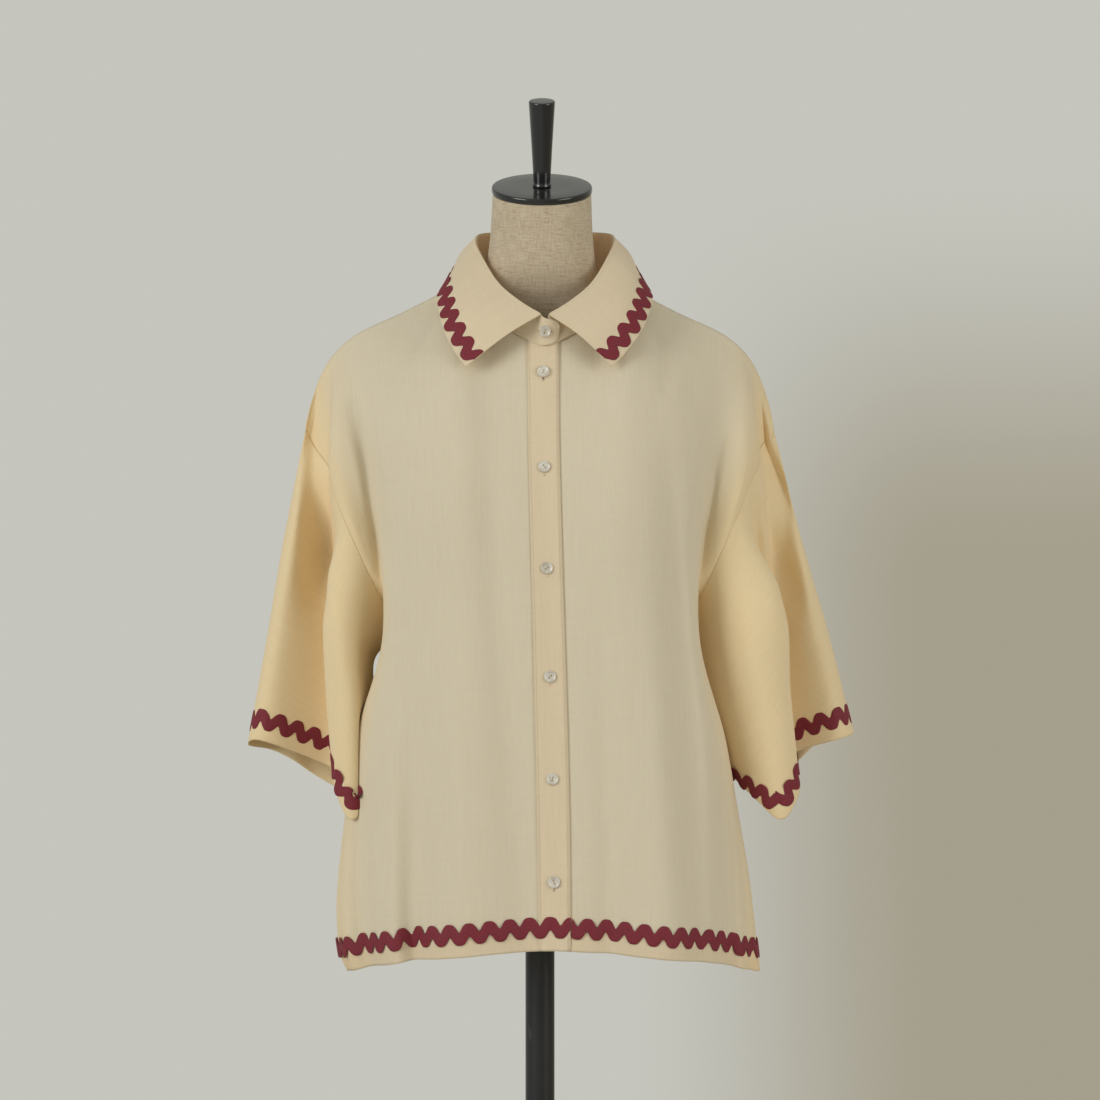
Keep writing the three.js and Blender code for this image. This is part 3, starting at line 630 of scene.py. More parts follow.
def creased(point):
    """Tucks the cloth in behind each crease it lies beside."""
    moved = point.copy()
    for side, heights, distances, deep, drawn, reach in CREASES:
        if point[0] * side < 0 or point[1] > 22:
            continue
        past = abs(point[0]) - np.interp(-point[2], [-h for h in heights], distances)
        past = -past if deep < 0 else past
        tucked = ease((past + 5) / 9) * ease((reach - past) / (0.6 * reach))
        fading = ease((heights[0] - point[2]) / 95) * ease((point[2] - heights[-1]) / 70)
        fading *= ease((22 - point[1]) / 20)
        moved[1] += abs(deep) * tucked * fading
        moved[0] -= side * drawn * ease((past + 3) / 7) * ease((16 - past) / 10) * fading
    return moved


cloth.hang = [creased(np.array(point)) for point in cloth.hang]


def net(keys, rows, columns, turn_over=False):
    """The faces of a panel, as indices into the welded net."""
    found = [[cloth.index[keys(r, c)] for c in columns] for r in rows]
    faces = []
    for r in range(len(rows) - 1):
        for c in range(len(columns) - 1):
            face = (found[r][c], found[r + 1][c], found[r + 1][c + 1], found[r][c + 1])
            faces.append(face[::-1] if turn_over else face)
    return faces


def body_keys(layer):
    return lambda r, c: cloth.body_key(layer, c, r)


def sleeve_keys(side, layer):
    return lambda r, c: cloth.sleeve_key(side, layer, c, r)


ALL_ROWS = range(ROWS + 1)
ALL_COLUMNS = range(-WIDTH_STEPS, WIDTH_STEPS + 1)
PLACKET_COLUMNS = range(-2, 3)
HEM_ROWS = 2
panels = {
    "front": net(body_keys(0), ALL_ROWS, ALL_COLUMNS),
    "back": net(body_keys(1), ALL_ROWS, ALL_COLUMNS, True),
}
for side, name in ((-1, "right"), (1, "left")):
    faces = net(sleeve_keys(side, 0), range(ARMHOLE_STEPS + 1), range(SLEEVE_STEPS + 1), side < 0)
    faces += net(sleeve_keys(side, 1), range(ARMHOLE_STEPS + 1), range(SLEEVE_STEPS + 1), side > 0)
    panels["sleeve_" + name] = faces

neck_ring = [cloth.index[cloth.body_key(layer, column, 0)]
             for layer in (0, 1) for column in range(-NECK_STEPS, NECK_STEPS + 1)]


def hem_points(layer, columns):
    rows = range(ROWS - HEM_ROWS, ROWS + 1)
    return [cloth.index[cloth.body_key(layer, c, r)] for r in rows for c in columns]


def cuff_points(side, layer):
    return [cloth.index[cloth.sleeve_key(side, layer, s, r)] for r in range(ARMHOLE_STEPS + 1)
            for s in range(SLEEVE_STEPS - HEM_ROWS, SLEEVE_STEPS + 1)]


# How firmly the cloth is held to its given lines while it settles.
HELD_SOFTLY = 0.3
HELD_AT_SHOULDERS = 0.6
SETTLING_FRAMES = 28


def settle(frames):
    """Drops the welded net on the form, with its flat shape as the shape it wants."""
    hang = np.array(cloth.hang) * MM
    mesh = bpy.data.meshes.new("settling")
    mesh.from_pydata(hang.tolist(), [], [f for faces in panels.values() for f in faces])
    mesh.update()
    piece = bpy.data.objects.new("settling", mesh)
    scene.collection.objects.link(piece)
    piece.shape_key_add(name="hanging")
    flat = piece.shape_key_add(name="flat")
    flat.data.foreach_set("co", (np.array(cloth.flat) * MM).ravel())
    flat.value = 0
    held = piece.vertex_groups.new(name="held")
    held.add(list(range(len(cloth.hang))), HELD_SOFTLY, "REPLACE")
    shoulders = [v for v, place in enumerate(cloth.hang) if abs(place[0]) > 150 and place[2] > 1000]
    held.add(shoulders, HELD_AT_SHOULDERS, "REPLACE")
    held.add(sorted(set(neck_ring)), 1.0, "REPLACE")
    stiff = piece.vertex_groups.new(name="stiff")
    placket = [cloth.index[cloth.body_key(0, c, r)] for r in ALL_ROWS for c in PLACKET_COLUMNS]
    stiff.add(placket, 1.0, "REPLACE")
    for layer in (0, 1):
        for side in (-1, 1):
            stiff.add(cuff_points(side, layer), 0.25, "REPLACE")
        stiff.add(hem_points(layer, [c for c in ALL_COLUMNS if c not in PLACKET_COLUMNS]), 0.15, "REPLACE")

    form.modifiers.new("body", "COLLISION")
    form.collision.thickness_outer = 0.004
    form.collision.cloth_friction = 15
    modifier = piece.modifiers.new("drape", "CLOTH")
    settings = modifier.settings
    settings.quality = 6
    settings.mass = 0.15
    settings.tension_stiffness = settings.compression_stiffness = 25
    settings.shear_stiffness = 8
    settings.bending_stiffness = 4
    settings.vertex_group_bending = "stiff"
    settings.bending_stiffness_max = 60
    settings.tension_damping = settings.compression_damping = settings.shear_damping = 5
    settings.bending_damping = 0.5
    settings.air_damping = 2
    settings.vertex_group_mass = "held"
    settings.pin_stiffness = 0.5
    settings.rest_shape_key = flat
    modifier.collision_settings.distance_min = 0.003
    modifier.point_cache.frame_end = frames
    scene.frame_end = frames
    for number in range(1, frames + 1):
        scene.frame_set(number)
    settled = piece.evaluated_get(bpy.context.evaluated_depsgraph_get()).to_mesh()
    places = np.empty(len(settled.vertices) * 3, np.float32)
    settled.vertices.foreach_get("co", places)
    bpy.data.objects.remove(piece)
    form.modifiers.clear()
    scene.frame_set(1)
    return places.reshape(-1, 3).astype(float) / MM


cloth.hang = list(settle(SETTLING_FRAMES))

# What a sleeve's cloth keeps from the middle of the body's cloth.
SLEEVE_GAP = 1.6


def clear_of_body():
    """Moves the sleeves' cloth that hangs below the underarm out of the fronts and the back."""
    below = range(ARMHOLE_STEPS, ROWS + 1)
    walls = net(body_keys(0), below, ALL_COLUMNS) + net(body_keys(1), below, ALL_COLUMNS, True)
    body = BVHTree.FromPolygons([tuple(point) for point in cloth.hang], walls)
    underarm = cloth.at(cloth.body_key(0, WIDTH_STEPS, ARMHOLE_STEPS))[2]
    for key, v in cloth.index.items():
        if key[0] == "sleeve":
            point = Vector(cloth.hang[v])
            place, way, _, _ = body.find_nearest(point, 40)
            if place is not None and place.z < underarm - 3:
                needed = SLEEVE_GAP - (point - place).dot(way)
                if needed > 0:
                    cloth.hang[v] = np.array(point + way * needed * ease((underarm - point.z) / 12))


clear_of_body()


# ---- Shirt: fronts, back and sleeves -----------------------------------------
# Light plain-woven cotton, 0.6 mm thick, doubled at the hems and cuffs. Each cut
# piece is its own shell, and meets the next one at a seam.
CLOTH_THICK = 0.6
HEM_THICK = 1.1
PLACKET_THICK = 1.1


# Painted glow: lifts and warms the cloth towards the sleeves, partly for cloth clear of the grey form and
# partly for light through the cloth and bounced in its folds.
CLEAR_CLOTH_AND_GLOW_TINT = (1.19, 1.065, 0.865, 1)
DOUBLE_TINT = (1.03, 0.965, 0.90, 1)


def cotton(name, light, deep, glow_and_hem_tints=False):
    """Plain cotton. It can be made warmer where the hem is doubled, and warmer and lighter towards the
    sleeves, partly because no grey form shows through the cloth there and partly as a painted glow of light
    shining through it and bouncing in its recesses.
    """
    material, tree, shader = principled(
        name, Roughness=0.9, Sheen_Weight=0.08, Sheen_Roughness=0.5, Specular_IOR_Level=0.2,
        Subsurface_Weight=0.12, Subsurface_Radius=(0.0012, 0.0008, 0.0005), Subsurface_Scale=1.0)
    flat = tree.nodes.new("ShaderNodeUVMap").outputs["UV"]
    slub_down = noise_on(tree, flat, 1.0, 3, (560, 22, 1))
    slub_across = noise_on(tree, flat, 1.0, 3, (22, 560, 1))
    weave = math_node(tree, "ADD", noise_on(tree, flat, 1.0, 2, (1900, 300, 1)),
                      noise_on(tree, flat, 1.0, 2, (300, 1900, 1)))
    slub = shares(tree, slub_down, 0.6, slub_across, 0.4)
    tone = shares(tree, slub, 0.6, weave, 0.2)
    colour = ramp_between(tree, tone, deep, light, (0.36, 0.64))
    if glow_and_hem_tints:
        split = node(tree, "ShaderNodeSeparateXYZ", Vector=flat)
        across = math_node(tree, "ABSOLUTE", split.outputs["X"])
        # Painted glow towards the sleeves, by distance across the flat cloth.
        colour = mixed(tree, smooth_step(tree, across, 0.170, 0.290), colour, CLEAR_CLOTH_AND_GLOW_TINT, "MULTIPLY")
        hem_line = (HEM_AT - HEM_TURN) * MM
        turned_up = smooth_step(tree, split.outputs["Y"], hem_line, hem_line + 3 * MM)
        colour = mixed(tree, turned_up, colour, DOUBLE_TINT, "MULTIPLY")
    put(tree, colour, shader.inputs["Base Color"])
    crinkle = noise_on(tree, flat, 1.0, 3, (48, 12, 1))
    height = math_node(tree, "ADD", shares(tree, weave, 0.06, slub, 0.10), crinkle)
    put(tree, bump_from(tree, height, 0.35, 0.0022), shader.inputs["Normal"])
    return material


# The single cloth carries the painted glow towards the sleeves and the warmer doubled hem.
single_cotton = cotton("cream_cotton_single", (0.735, 0.660, 0.510), (0.690, 0.610, 0.455), True)
double_cotton = cotton("cream_cotton_double", (0.785, 0.665, 0.480), (0.725, 0.600, 0.420))
# Painted glow: a brighter, warmer cotton for the collar's inner face, standing in for warm light bounced
# into its shade.
shade_glow_cotton = cotton("cream_cotton_in_shade", (0.960, 0.690, 0.420), (0.920, 0.640, 0.380))


def cut_piece(name, faces, moved=None, thick=CLOTH_THICK, hem=(), shift=0.0, material=single_cotton):
    """A piece of the settled cloth as a thin shell."""
    used = sorted({v for face in faces for v in face})
    local = {v: k for k, v in enumerate(used)}
    points = [cloth.hang[v] if moved is None else moved.get(v, cloth.hang[v]) for v in used]
    piece = new_object(name, points, [tuple(local[v] for v in face) for face in faces])
    add_uv(piece, [(cloth.flat[v][0], -cloth.flat[v][2]) for v in used])
    group = piece.vertex_groups.new(name="doubled")
    group.add([local[v] for v in hem if v in local], 1.0, "REPLACE")
    rounder = piece.modifiers.new("round", "SUBSURF")
    rounder.levels = rounder.render_levels = 1
    wall = piece.modifiers.new("wall", "SOLIDIFY")
    wall.thickness = HEM_THICK * MM
    wall.offset = shift
    wall.use_even_offset = False
    wall.vertex_group = "doubled"
    wall.thickness_vertex_group = thick / HEM_THICK
    piece.data.materials.append(material)
    finished(piece, "cotton")
    return piece


def body_piece(name, part, layer, columns, **more):
    faces = net(body_keys(layer), ALL_ROWS, columns, layer == 1)
    piece = cut_piece(name, faces, hem=hem_points(layer, columns), **more)
    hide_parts(part)
    return piece


def way_out():
    """The outward direction at every point of the settled cloth."""
    points = np.array(cloth.hang)
    total = np.zeros_like(points)
    for faces in panels.values():
        quads = np.array(faces)
        across = points[quads[:, 2]] - points[quads[:, 0]]
        down = points[quads[:, 3]] - points[quads[:, 1]]
        normal = np.cross(across, down)
        for corner in range(4):
            np.add.at(total, quads[:, corner], normal)
    return total / np.maximum(np.linalg.norm(total, axis=1, keepdims=True), 1e-9)


out = way_out()


def behind_placket(depth):
    moved = {}
    for row in ALL_ROWS:
        for column in range(-2, 5):
            v = cloth.index[cloth.body_key(0, column, row)]
            moved[v] = cloth.hang[v] - out[v] * depth * ease((4 - column) / 2)
    return moved


front_right = body_piece("front_right_panel", "front_right", 0, range(-WIDTH_STEPS, 0), shift=-1.0)
front_left = body_piece("front_left_panel", "front_left", 0, range(-2, WIDTH_STEPS + 1),
                        moved=behind_placket(0.75))
back = body_piece("back_panel", "back", 1, ALL_COLUMNS)

for side, name in ((-1, "right"), (1, "left")):
    cuff = cuff_points(side, 0) + cuff_points(side, 1)
    piece = cut_piece("sleeve_" + name + "_panel", panels["sleeve_" + name], hem=cuff)
    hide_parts("sleeve_" + name)

placket = body_piece("placket_band", "placket", 0, PLACKET_COLUMNS, thick=PLACKET_THICK, shift=1.0,
                     material=double_cotton)


# ---- Collar ------------------------------------------------------------------
# A shirt collar on a buttoned stand, both double cloth with a light interlining,
# so they keep their shape. The leaf rolls over the top of the stand. The right end
# of the stand laps over the left one, and its end is rounded.
STAND_THICK = 1.6
FOOT_OUT = 1.5  # the stand's foot lies over the neckline's cut edge
FOOT_OVER = 1.5
LEAF_THICK = 1.3
CORNER_CREASE = 0.8
LAP_REACH = [5, 11, 15, 18, 19.5]
LAP_LOWER = [3.5, 4, 5, 7, 10]
LAP_RISE = [0, 1.5, 3.5, 7, 11]
COLLAR_STATIONS = np.array([
    [(4, -87, 1158), (38, -99, 1138), (76, -101, 1111)], [(27, -75, 1174), (57, -89, 1152),
     (87, -91, 1125)],
    [(46, -57, 1192), (76, -70, 1173), (99, -73, 1148)], [(62, -28, 1219), (86, -33, 1202),
     (106, -36, 1178)],
    [(69, 6, 1241), (86, 6, 1220), (100, 6, 1190)], [(57, 44, 1251), (76, 58, 1234), (86, 74, 1203)],
    [(0, 64, 1253), (0, 84, 1238), (0, 97, 1208)]], float)
NECK_SEAM = [(FRONT_LINES, 0), (FRONT_LINES, 24), (FRONT_LINES, 47), (FRONT_LINES, 68), (FRONT_LINES, 80),
             (BACK_LINES, 45), (BACK_LINES, 0)]
COLLAR_STEPS = 10  # between two stations
COLLAR_ASIDE = 5  # the collar sits a little towards the wearer's left


def collar_walk(make):
    """Points from the wearer's left end of the collar round the back to the right end."""
    stations = np.linspace(0, 6, 6 * COLLAR_STEPS + 1)
    left = [make(s, 1) for s in stations]
    return left + [make(s, -1) for s in stations[-2::-1]]


def mirrored(point, side):
    return np.array((point[0] * side + COLLAR_ASIDE, point[1], point[2]))


neck_points = np.array([drape_point(lines, across, 0) for lines, across in NECK_SEAM])
seam_row = np.array(collar_walk(lambda s, side: mirrored(on_curve(neck_points, s), side)))
from_neck = (seam_row - (COLLAR_ASIDE, -10, 0)) * (1, 1, 0)
seam_row += from_neck / np.linalg.norm(from_neck, axis=1, keepdims=True) * FOOT_OUT - (0, 0, FOOT_OVER)
roll_row = np.array(collar_walk(lambda s, side: mirrored(on_curve(COLLAR_STATIONS[:, 0], s), side)))
LAP_START = len(roll_row) - 1
stand_rows = []
for t in np.linspace(1, 0, 7):
    row = list(seam_row * (1 - t) + roll_row * t)
    row[-1] = row[-1] + (0, -2.4, 0)
    row[-2] = row[-2] + (0, -1.2, 0)
    end = row[-1]
    for x, lower, rise in zip(LAP_REACH, LAP_LOWER, LAP_RISE):
        row.append(np.array((x, end[1] + 0.01 * x * x, end[2] - t * lower + (1 - t) * rise)))
    stand_rows.append(row)
stand_grid = np.array(stand_rows)

down_stand = (seam_row - roll_row) / np.linalg.norm(seam_row - roll_row, axis=1, keepdims=True)
along = np.gradient(roll_row, axis=0)
inward = np.cross(down_stand, along)
inward /= np.linalg.norm(inward, axis=1, keepdims=True)


def leaf_line(k):
    """The leaf's curve at one place: up inside the stand, over its top and down to the edge."""
    side = 1 if k < 6 * COLLAR_STEPS else -1
    station = (k if side > 0 else 12 * COLLAR_STEPS - k) / COLLAR_STEPS
    middle, edge = (mirrored(on_curve(COLLAR_STATIONS[:, j], station), side) for j in (1, 2))
    near_point = ease(1 - station / 3.2)
    edge += np.array((-11 if side > 0 else 0, 0, -4)) * near_point
    middle += np.array((-4 if side > 0 else 0, 0, -1)) * near_point
    top = roll_row[k].copy()
    top[1] -= 3 * max(0, 1 - station)
    if side < 0 and station < 0.6:
        top[1] -= 1.2
    crown = top + (0, 0, 1.5)
    lip = top + inward[k] * (STAND_THICK + 0.9) + (0, 0, 0.2)
    hidden = lip + down_stand[k] * 5
    if station < 0.35:
        lip, hidden = crown + inward[k] * 0.5, crown + inward[k] * 1.2 + down_stand[k]
    shoulder_of_roll = top - inward[k] * 1.2 + (0, 0, 0.3)
    fold = [hidden, lip, crown, shoulder_of_roll]
    visible = np.array([shoulder_of_roll, middle, edge])
    return fold + [on_curve(visible, t) for t in np.linspace(0, 2, 13)[1:]]


leaf_grid = np.array([leaf_line(k) for k in range(len(roll_row))]).transpose(1, 0, 2)


def sheet_from_grid(name, grid, thick, shift):
    """A thin double cloth on a grid of points whose outside is on the left of the way down."""
    rows, columns = grid.shape[:2]
    faces = [(r * columns + c, (r + 1) * columns + c, (r + 1) * columns + c + 1, r * columns + c + 1)
             for r in range(rows - 1) for c in range(columns - 1)]
    piece = new_object(name, grid.reshape(-1, 3), faces)
    across = np.cumsum(np.r_[0, np.linalg.norm(np.diff(grid[rows // 2], axis=0), axis=1)])
    down = np.cumsum(np.r_[0, np.linalg.norm(np.diff(grid[:, columns // 3], axis=0), axis=1)])
    add_uv(piece, [(across[c], down[r]) for r in range(rows) for c in range(columns)])
    creased = piece.data.attributes.new("crease_vert", "FLOAT", "POINT")
    for corner in (0, columns - 1, (rows - 1) * columns, rows * columns - 1):
        creased.data[corner].value = CORNER_CREASE
    rounder = piece.modifiers.new("round", "SUBSURF")
    rounder.levels = rounder.render_levels = 1
    shell = piece.modifiers.new("wall", "SOLIDIFY")
    shell.thickness = thick * MM
    shell.offset = shift
    # Where the shell grows inward, as on the stand, its inner face takes the second material, a painted warm
    # glow in its shade.
    shell.material_offset = 1 if shift < 0 else 0
    rim = piece.modifiers.new("soft_edge", "BEVEL")
    rim.width = 0.25 * MM
    rim.segments = 2
    rim.limit_method = "ANGLE"
    piece.data.materials.append(double_cotton)
    piece.data.materials.append(shade_glow_cotton)
    finished(piece, "cotton")
    return piece


stand = sheet_from_grid("collar_stand_band", stand_grid, STAND_THICK, -1)
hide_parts("collar_stand")
leaf = sheet_from_grid("collar_leaf_fall", leaf_grid, LEAF_THICK, 1)
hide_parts("collar_leaf")


# ---- Ric-rac -----------------------------------------------------------------
# Burgundy woven ric-rac braid, 20 mm high over its waves, sewn flat on the collar,
# round both cuffs and round the hem. The hem's tape crosses the placket and is cut
# at its free edge, and the left front's own tape starts beside it.
TRIM_ABOVE_EDGE = 29
RICRAC_HEIGHT = 20.4
RICRAC_PERIOD = 19.2
RICRAC_THICK = 1.1


class Nodes:
    """A geometry node group being built, with named inputs."""

    def __init__(self, name, inputs):
        self.group = bpy.data.node_groups.new(name, "GeometryNodeTree")
        self.group.interface.new_socket("Geometry", in_out="INPUT", socket_type="NodeSocketGeometry")
        self.group.interface.new_socket("Geometry", in_out="OUTPUT", socket_type="NodeSocketGeometry")
        self.ids = {}
        for label, kind in inputs.items():
            socket = self.group.interface.new_socket(label, in_out="INPUT", socket_type="NodeSocket" + kind)
            self.ids[label] = socket.identifier
        self.input = self.add("NodeGroupInput")
        self.output = self.add("NodeGroupOutput")

    def add(self, kind, settings=None, **links):
        made = self.group.nodes.new(kind)
        for key, value in (settings or {}).items():
            setattr(made, key, value)
        for key, value in links.items():
            self.set(made.inputs[key.replace("_", " ")], value)
        return made

    def set(self, socket, value):
        put(self.group, value, socket)

    def given(self, label):
        return self.input.outputs[label]

    def math(self, operation, a, b=0.0):
        return math_node(self.group, operation, a, b)

    def vector(self, operation, a, b=None, scale=None):
        made = self.add("ShaderNodeVectorMath", {"operation": operation})
        self.set(made.inputs[0], a)
        if b is not None:
            self.set(made.inputs[1], b)
        if scale is not None:
            self.set(made.inputs["Scale"], scale)
        return made.outputs[0]

    def named(self, name, kind):
        return self.add("GeometryNodeInputNamedAttribute", {"data_type": kind}, Name=name).outputs[0]

    def store(self, geometry, name, value, kind, domain="POINT"):
        made = self.add("GeometryNodeStoreNamedAttribute", {"data_type": kind, "domain": domain},
                        Geometry=geometry, Name=name)
        self.set(made.inputs["Value"], value)
        return made.outputs["Geometry"]

    def finish(self, geometry, material):
        real = self.add("GeometryNodeRealizeInstances", Geometry=geometry).outputs["Geometry"]
        painted = self.add("GeometryNodeSetMaterial", Geometry=real, Material=material).outputs["Geometry"]
        self.group.links.new(painted, self.output.inputs["Geometry"])
        return self


def ricrac_nodes():
    n = Nodes("ricrac_braid", {"Waves": "Int", "Height": "Float", "Thickness": "Float", "Lift": "Float",
                               "Start": "Float", "Material": "Material"})
    curve = n.add("GeometryNodeMeshToCurve", Mesh=n.input.outputs["Geometry"]).outputs["Curve"]
    count = n.math("ADD", n.math("MULTIPLY", n.given("Waves"), 22), 1)
    even = n.add("GeometryNodeResampleCurve", Curve=curve, Count=count).outputs["Curve"]
    part = n.add("GeometryNodeSplineParameter")
    turn = n.math("MULTIPLY", n.math("MULTIPLY", part.outputs["Factor"], n.given("Waves")), 2 * math.pi)
    phase = n.math("ADD", turn, n.given("Start"))
    even = n.store(even, "phase", phase, "FLOAT")
    even = n.store(even, "along", part.outputs["Length"], "FLOAT")
    even = n.store(even, "way", n.add("GeometryNodeInputTangent").outputs[0], "FLOAT_VECTOR")
    even = n.store(even, "middle", n.add("GeometryNodeInputPosition").outputs[0], "FLOAT_VECTOR")
    ring = n.add("GeometryNodeCurvePrimitiveCircle", Resolution=12, Radius=1.0).outputs["Curve"]
    ring = n.store(ring, "round", n.math("MULTIPLY", part.outputs["Factor"], 2 * math.pi), "FLOAT")
    tube = n.add("GeometryNodeCurveToMesh", Curve=even, Fill_Caps=True)
    n.set(tube.inputs["Profile Curve"], ring)

    phase = n.named("phase", "FLOAT")

    def edge(angle):
        """How far the tape's upper edge stands from its middle line, as a share of half the height."""
        dip = n.math("POWER", n.math("ABSOLUTE", n.math("SINE", n.math("MULTIPLY", angle, 0.5))), 3.4)
        return n.math("SQRT", n.math("SUBTRACT", 1.0, n.math("MULTIPLY", dip, 0.955)))

    upper = edge(phase)
    lower = n.math("MULTIPLY", edge(n.math("ADD", phase, math.pi)), -1.0)
    angle = n.named("round", "FLOAT")
    c = n.math("COSINE", angle)
    flatter = n.math("SUBTRACT", 1.4, n.math("MULTIPLY", n.math("MULTIPLY", c, c), 0.4))
    rounded = n.math("MULTIPLY", c, flatter)
    centre = n.math("MULTIPLY", n.math("ADD", upper, lower), 0.5)
    half = n.math("MULTIPLY", n.math("SUBTRACT", upper, lower), 0.5)
    share = n.math("ADD", centre, n.math("MULTIPLY", half, rounded))
    across = n.math("MULTIPLY", share, n.math("MULTIPLY", n.given("Height"), 0.5))
    rise = n.math("MULTIPLY", n.math("ADD", n.math("SINE", angle), 1.0),
                  n.math("MULTIPLY", n.given("Thickness"), 0.5))
    out_way = n.vector("NORMALIZE", n.named("out", "FLOAT_VECTOR"))
    side = n.vector("NORMALIZE", n.vector("CROSS_PRODUCT", out_way, n.named("way", "FLOAT_VECTOR")))
    place = n.vector("ADD", n.named("middle", "FLOAT_VECTOR"), n.vector("SCALE", side, scale=across))
    place = n.vector("ADD", place, n.vector("SCALE", out_way, scale=n.math("ADD", rise, n.given("Lift"))))
    braid = n.store(tube.outputs["Mesh"], "across", across, "FLOAT")
    braid = n.add("GeometryNodeSetPosition", Geometry=braid, Position=place).outputs["Geometry"]
    flat = n.add("ShaderNodeCombineXYZ", X=n.named("along", "FLOAT"), Y=n.named("across", "FLOAT"))
    braid = n.store(braid, "cloth", flat.outputs[0], "FLOAT2", "CORNER")
    braid = n.add("GeometryNodeSetShadeSmooth", Geometry=braid).outputs["Geometry"]
    return n.finish(braid, n.given("Material"))


def made_by_nodes(name, guide_mm, out_ways, nodes, values):
    """Runs a node group along a guide line and keeps the result as a plain mesh."""
    mesh = bpy.data.meshes.new(name + "_guide")
    links = [(k, k + 1) for k in range(len(guide_mm) - 1)]
    mesh.from_pydata([tuple(c * MM for c in p) for p in guide_mm], links, [])
    ways = mesh.attributes.new("out", "FLOAT_VECTOR", "POINT")
    ways.data.foreach_set("vector", np.array(out_ways, np.float32).ravel())
    guide = bpy.data.objects.new(name + "_guide", mesh)
    scene.collection.objects.link(guide)
    modifier = guide.modifiers.new("nodes", "NODES")
    modifier.node_group = nodes.group
    for label, value in values.items():
        modifier[nodes.ids[label]] = value
    graph = bpy.context.evaluated_depsgraph_get()
    plain = bpy.data.meshes.new_from_object(guide.evaluated_get(graph), depsgraph=graph)
    plain.name = name
    for spare in ("out", "phase", "along", "way", "middle", "round", "across"):
        if spare in plain.attributes:
            plain.attributes.remove(plain.attributes[spare])
    bpy.data.objects.remove(guide)
    piece = bpy.data.objects.new(name, plain)
    scene.collection.objects.link(piece)
    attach(piece, "root")
    return piece


def braid_material():
    material, tree, shader = principled("burgundy_braid", Roughness=0.72, Sheen_Weight=0.08,
                                        Sheen_Tint=(0.9, 0.25, 0.35, 1))
    flat = tree.nodes.new("ShaderNodeUVMap").outputs["UV"]
    fibres = noise_on(tree, flat, 1.0, 3, (1500, 700, 1))
    colour = ramp_between(tree, fibres, (0.105, 0.007, 0.014), (0.285, 0.021, 0.040), (0.30, 0.70))
    put(tree, colour, shader.inputs["Base Color"])
    put(tree, bump_from(tree, fibres, 0.5, 0.0006), shader.inputs["Normal"])
    return material


ricrac = ricrac_nodes()
burgundy = braid_material()


def row_of(down):
    if down <= UNDERARM_AT:
        return ARMHOLE_STEPS * (down - SHOULDER_DROP) / ARMHOLE
    return ARMHOLE_STEPS + SIDE_STEPS * (down - UNDERARM_AT) / SIDE_SEAM


def on_net(key_of, row, column, last_row, last_column):
    """A point of the hanging cloth between four corners of its net, and its way out."""
    r, c = min(int(row), last_row - 1), min(math.floor(column), last_column - 1)
    point, way = np.zeros(3), np.zeros(3)
    for dc in (0, 1):
        for dr in (0, 1):
            share = (column - c if dc else 1 - column + c) * (row - r if dr else 1 - row + r)
            v = cloth.index[key_of(r + dr, c + dc)]
            point += share * np.array(cloth.hang[v])
            way += share * out[v]
    return point, way / np.linalg.norm(way)


def on_body(layer, across, row, lift=0.0):
    """A place on the hanging body, given across the flat cloth in mm and down in rows."""
    column = np.interp(abs(across), COLUMN_AT, range(WIDTH_STEPS + 1)) * (1 if across >= 0 else -1)
    point, way = on_net(body_keys(layer), row, column, ROWS, WIDTH_STEPS)
    return point + way * lift, way


def on_sleeve(side, layer, row, step):
    return on_net(sleeve_keys(side, layer), row, step, ARMHOLE_STEPS, SLEEVE_STEPS)


def sew_ricrac(name, parts, guide, lift, start=0.0):
    points = [g[0] for g in guide]
    ways = [g[1] for g in guide]
    length = sum(np.linalg.norm(b - a) for a, b in zip(points, points[1:]))
    piece = made_by_nodes(name, points, ways, ricrac, {
        "Waves": max(2, round(length / RICRAC_PERIOD)), "Height": RICRAC_HEIGHT * MM,
        "Thickness": RICRAC_THICK * MM, "Lift": lift * MM, "Start": start, "Material": burgundy})
    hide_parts(*parts)
    return piece


trim_row = row_of(HEM_AT - TRIM_ABOVE_EDGE)
right_run = np.linspace(-HALF_WIDTH, PLACKET_HALF, 90)
right_guide = [on_body(0, u, trim_row, CLOTH_THICK + 0.6 * ease((u + 26) / 10)) for u in right_run]
hem_right = sew_ricrac("ricrac_right_front", ["ricrac_hem_front_right", "ricrac_placket"], right_guide, 0.1)
left_guide = [on_body(0, u, trim_row, CLOTH_THICK) for u in np.linspace(PLACKET_HALF + 0.6, HALF_WIDTH, 80)]
hem_left = sew_ricrac("ricrac_left_front", ["ricrac_hem_front_left"], left_guide, 0.1, 1.3)
back_guide = [on_body(1, u, trim_row, CLOTH_THICK) for u in np.linspace(HALF_WIDTH, -HALF_WIDTH, 120)]
hem_back = sew_ricrac("ricrac_back", ["ricrac_hem_back"], back_guide, 0.1)

trim_step = SLEEVE_STEPS * (1 - TRIM_ABOVE_EDGE / SLEEVE_LENGTH)
for side, name in ((-1, "right"), (1, "left")):
    down_front = [on_sleeve(side, 0, r, trim_step) for r in np.linspace(0, ARMHOLE_STEPS, 60)]
    up_back = [on_sleeve(side, 1, r, trim_step) for r in np.linspace(ARMHOLE_STEPS, 0, 60)[1:]]
    guide = down_front + up_back
    guide = guide if side < 0 else guide[::-1]
    braid = sew_ricrac("ricrac_" + name + "_cuff", ["ricrac_sleeve_" + name], guide, 0.1)

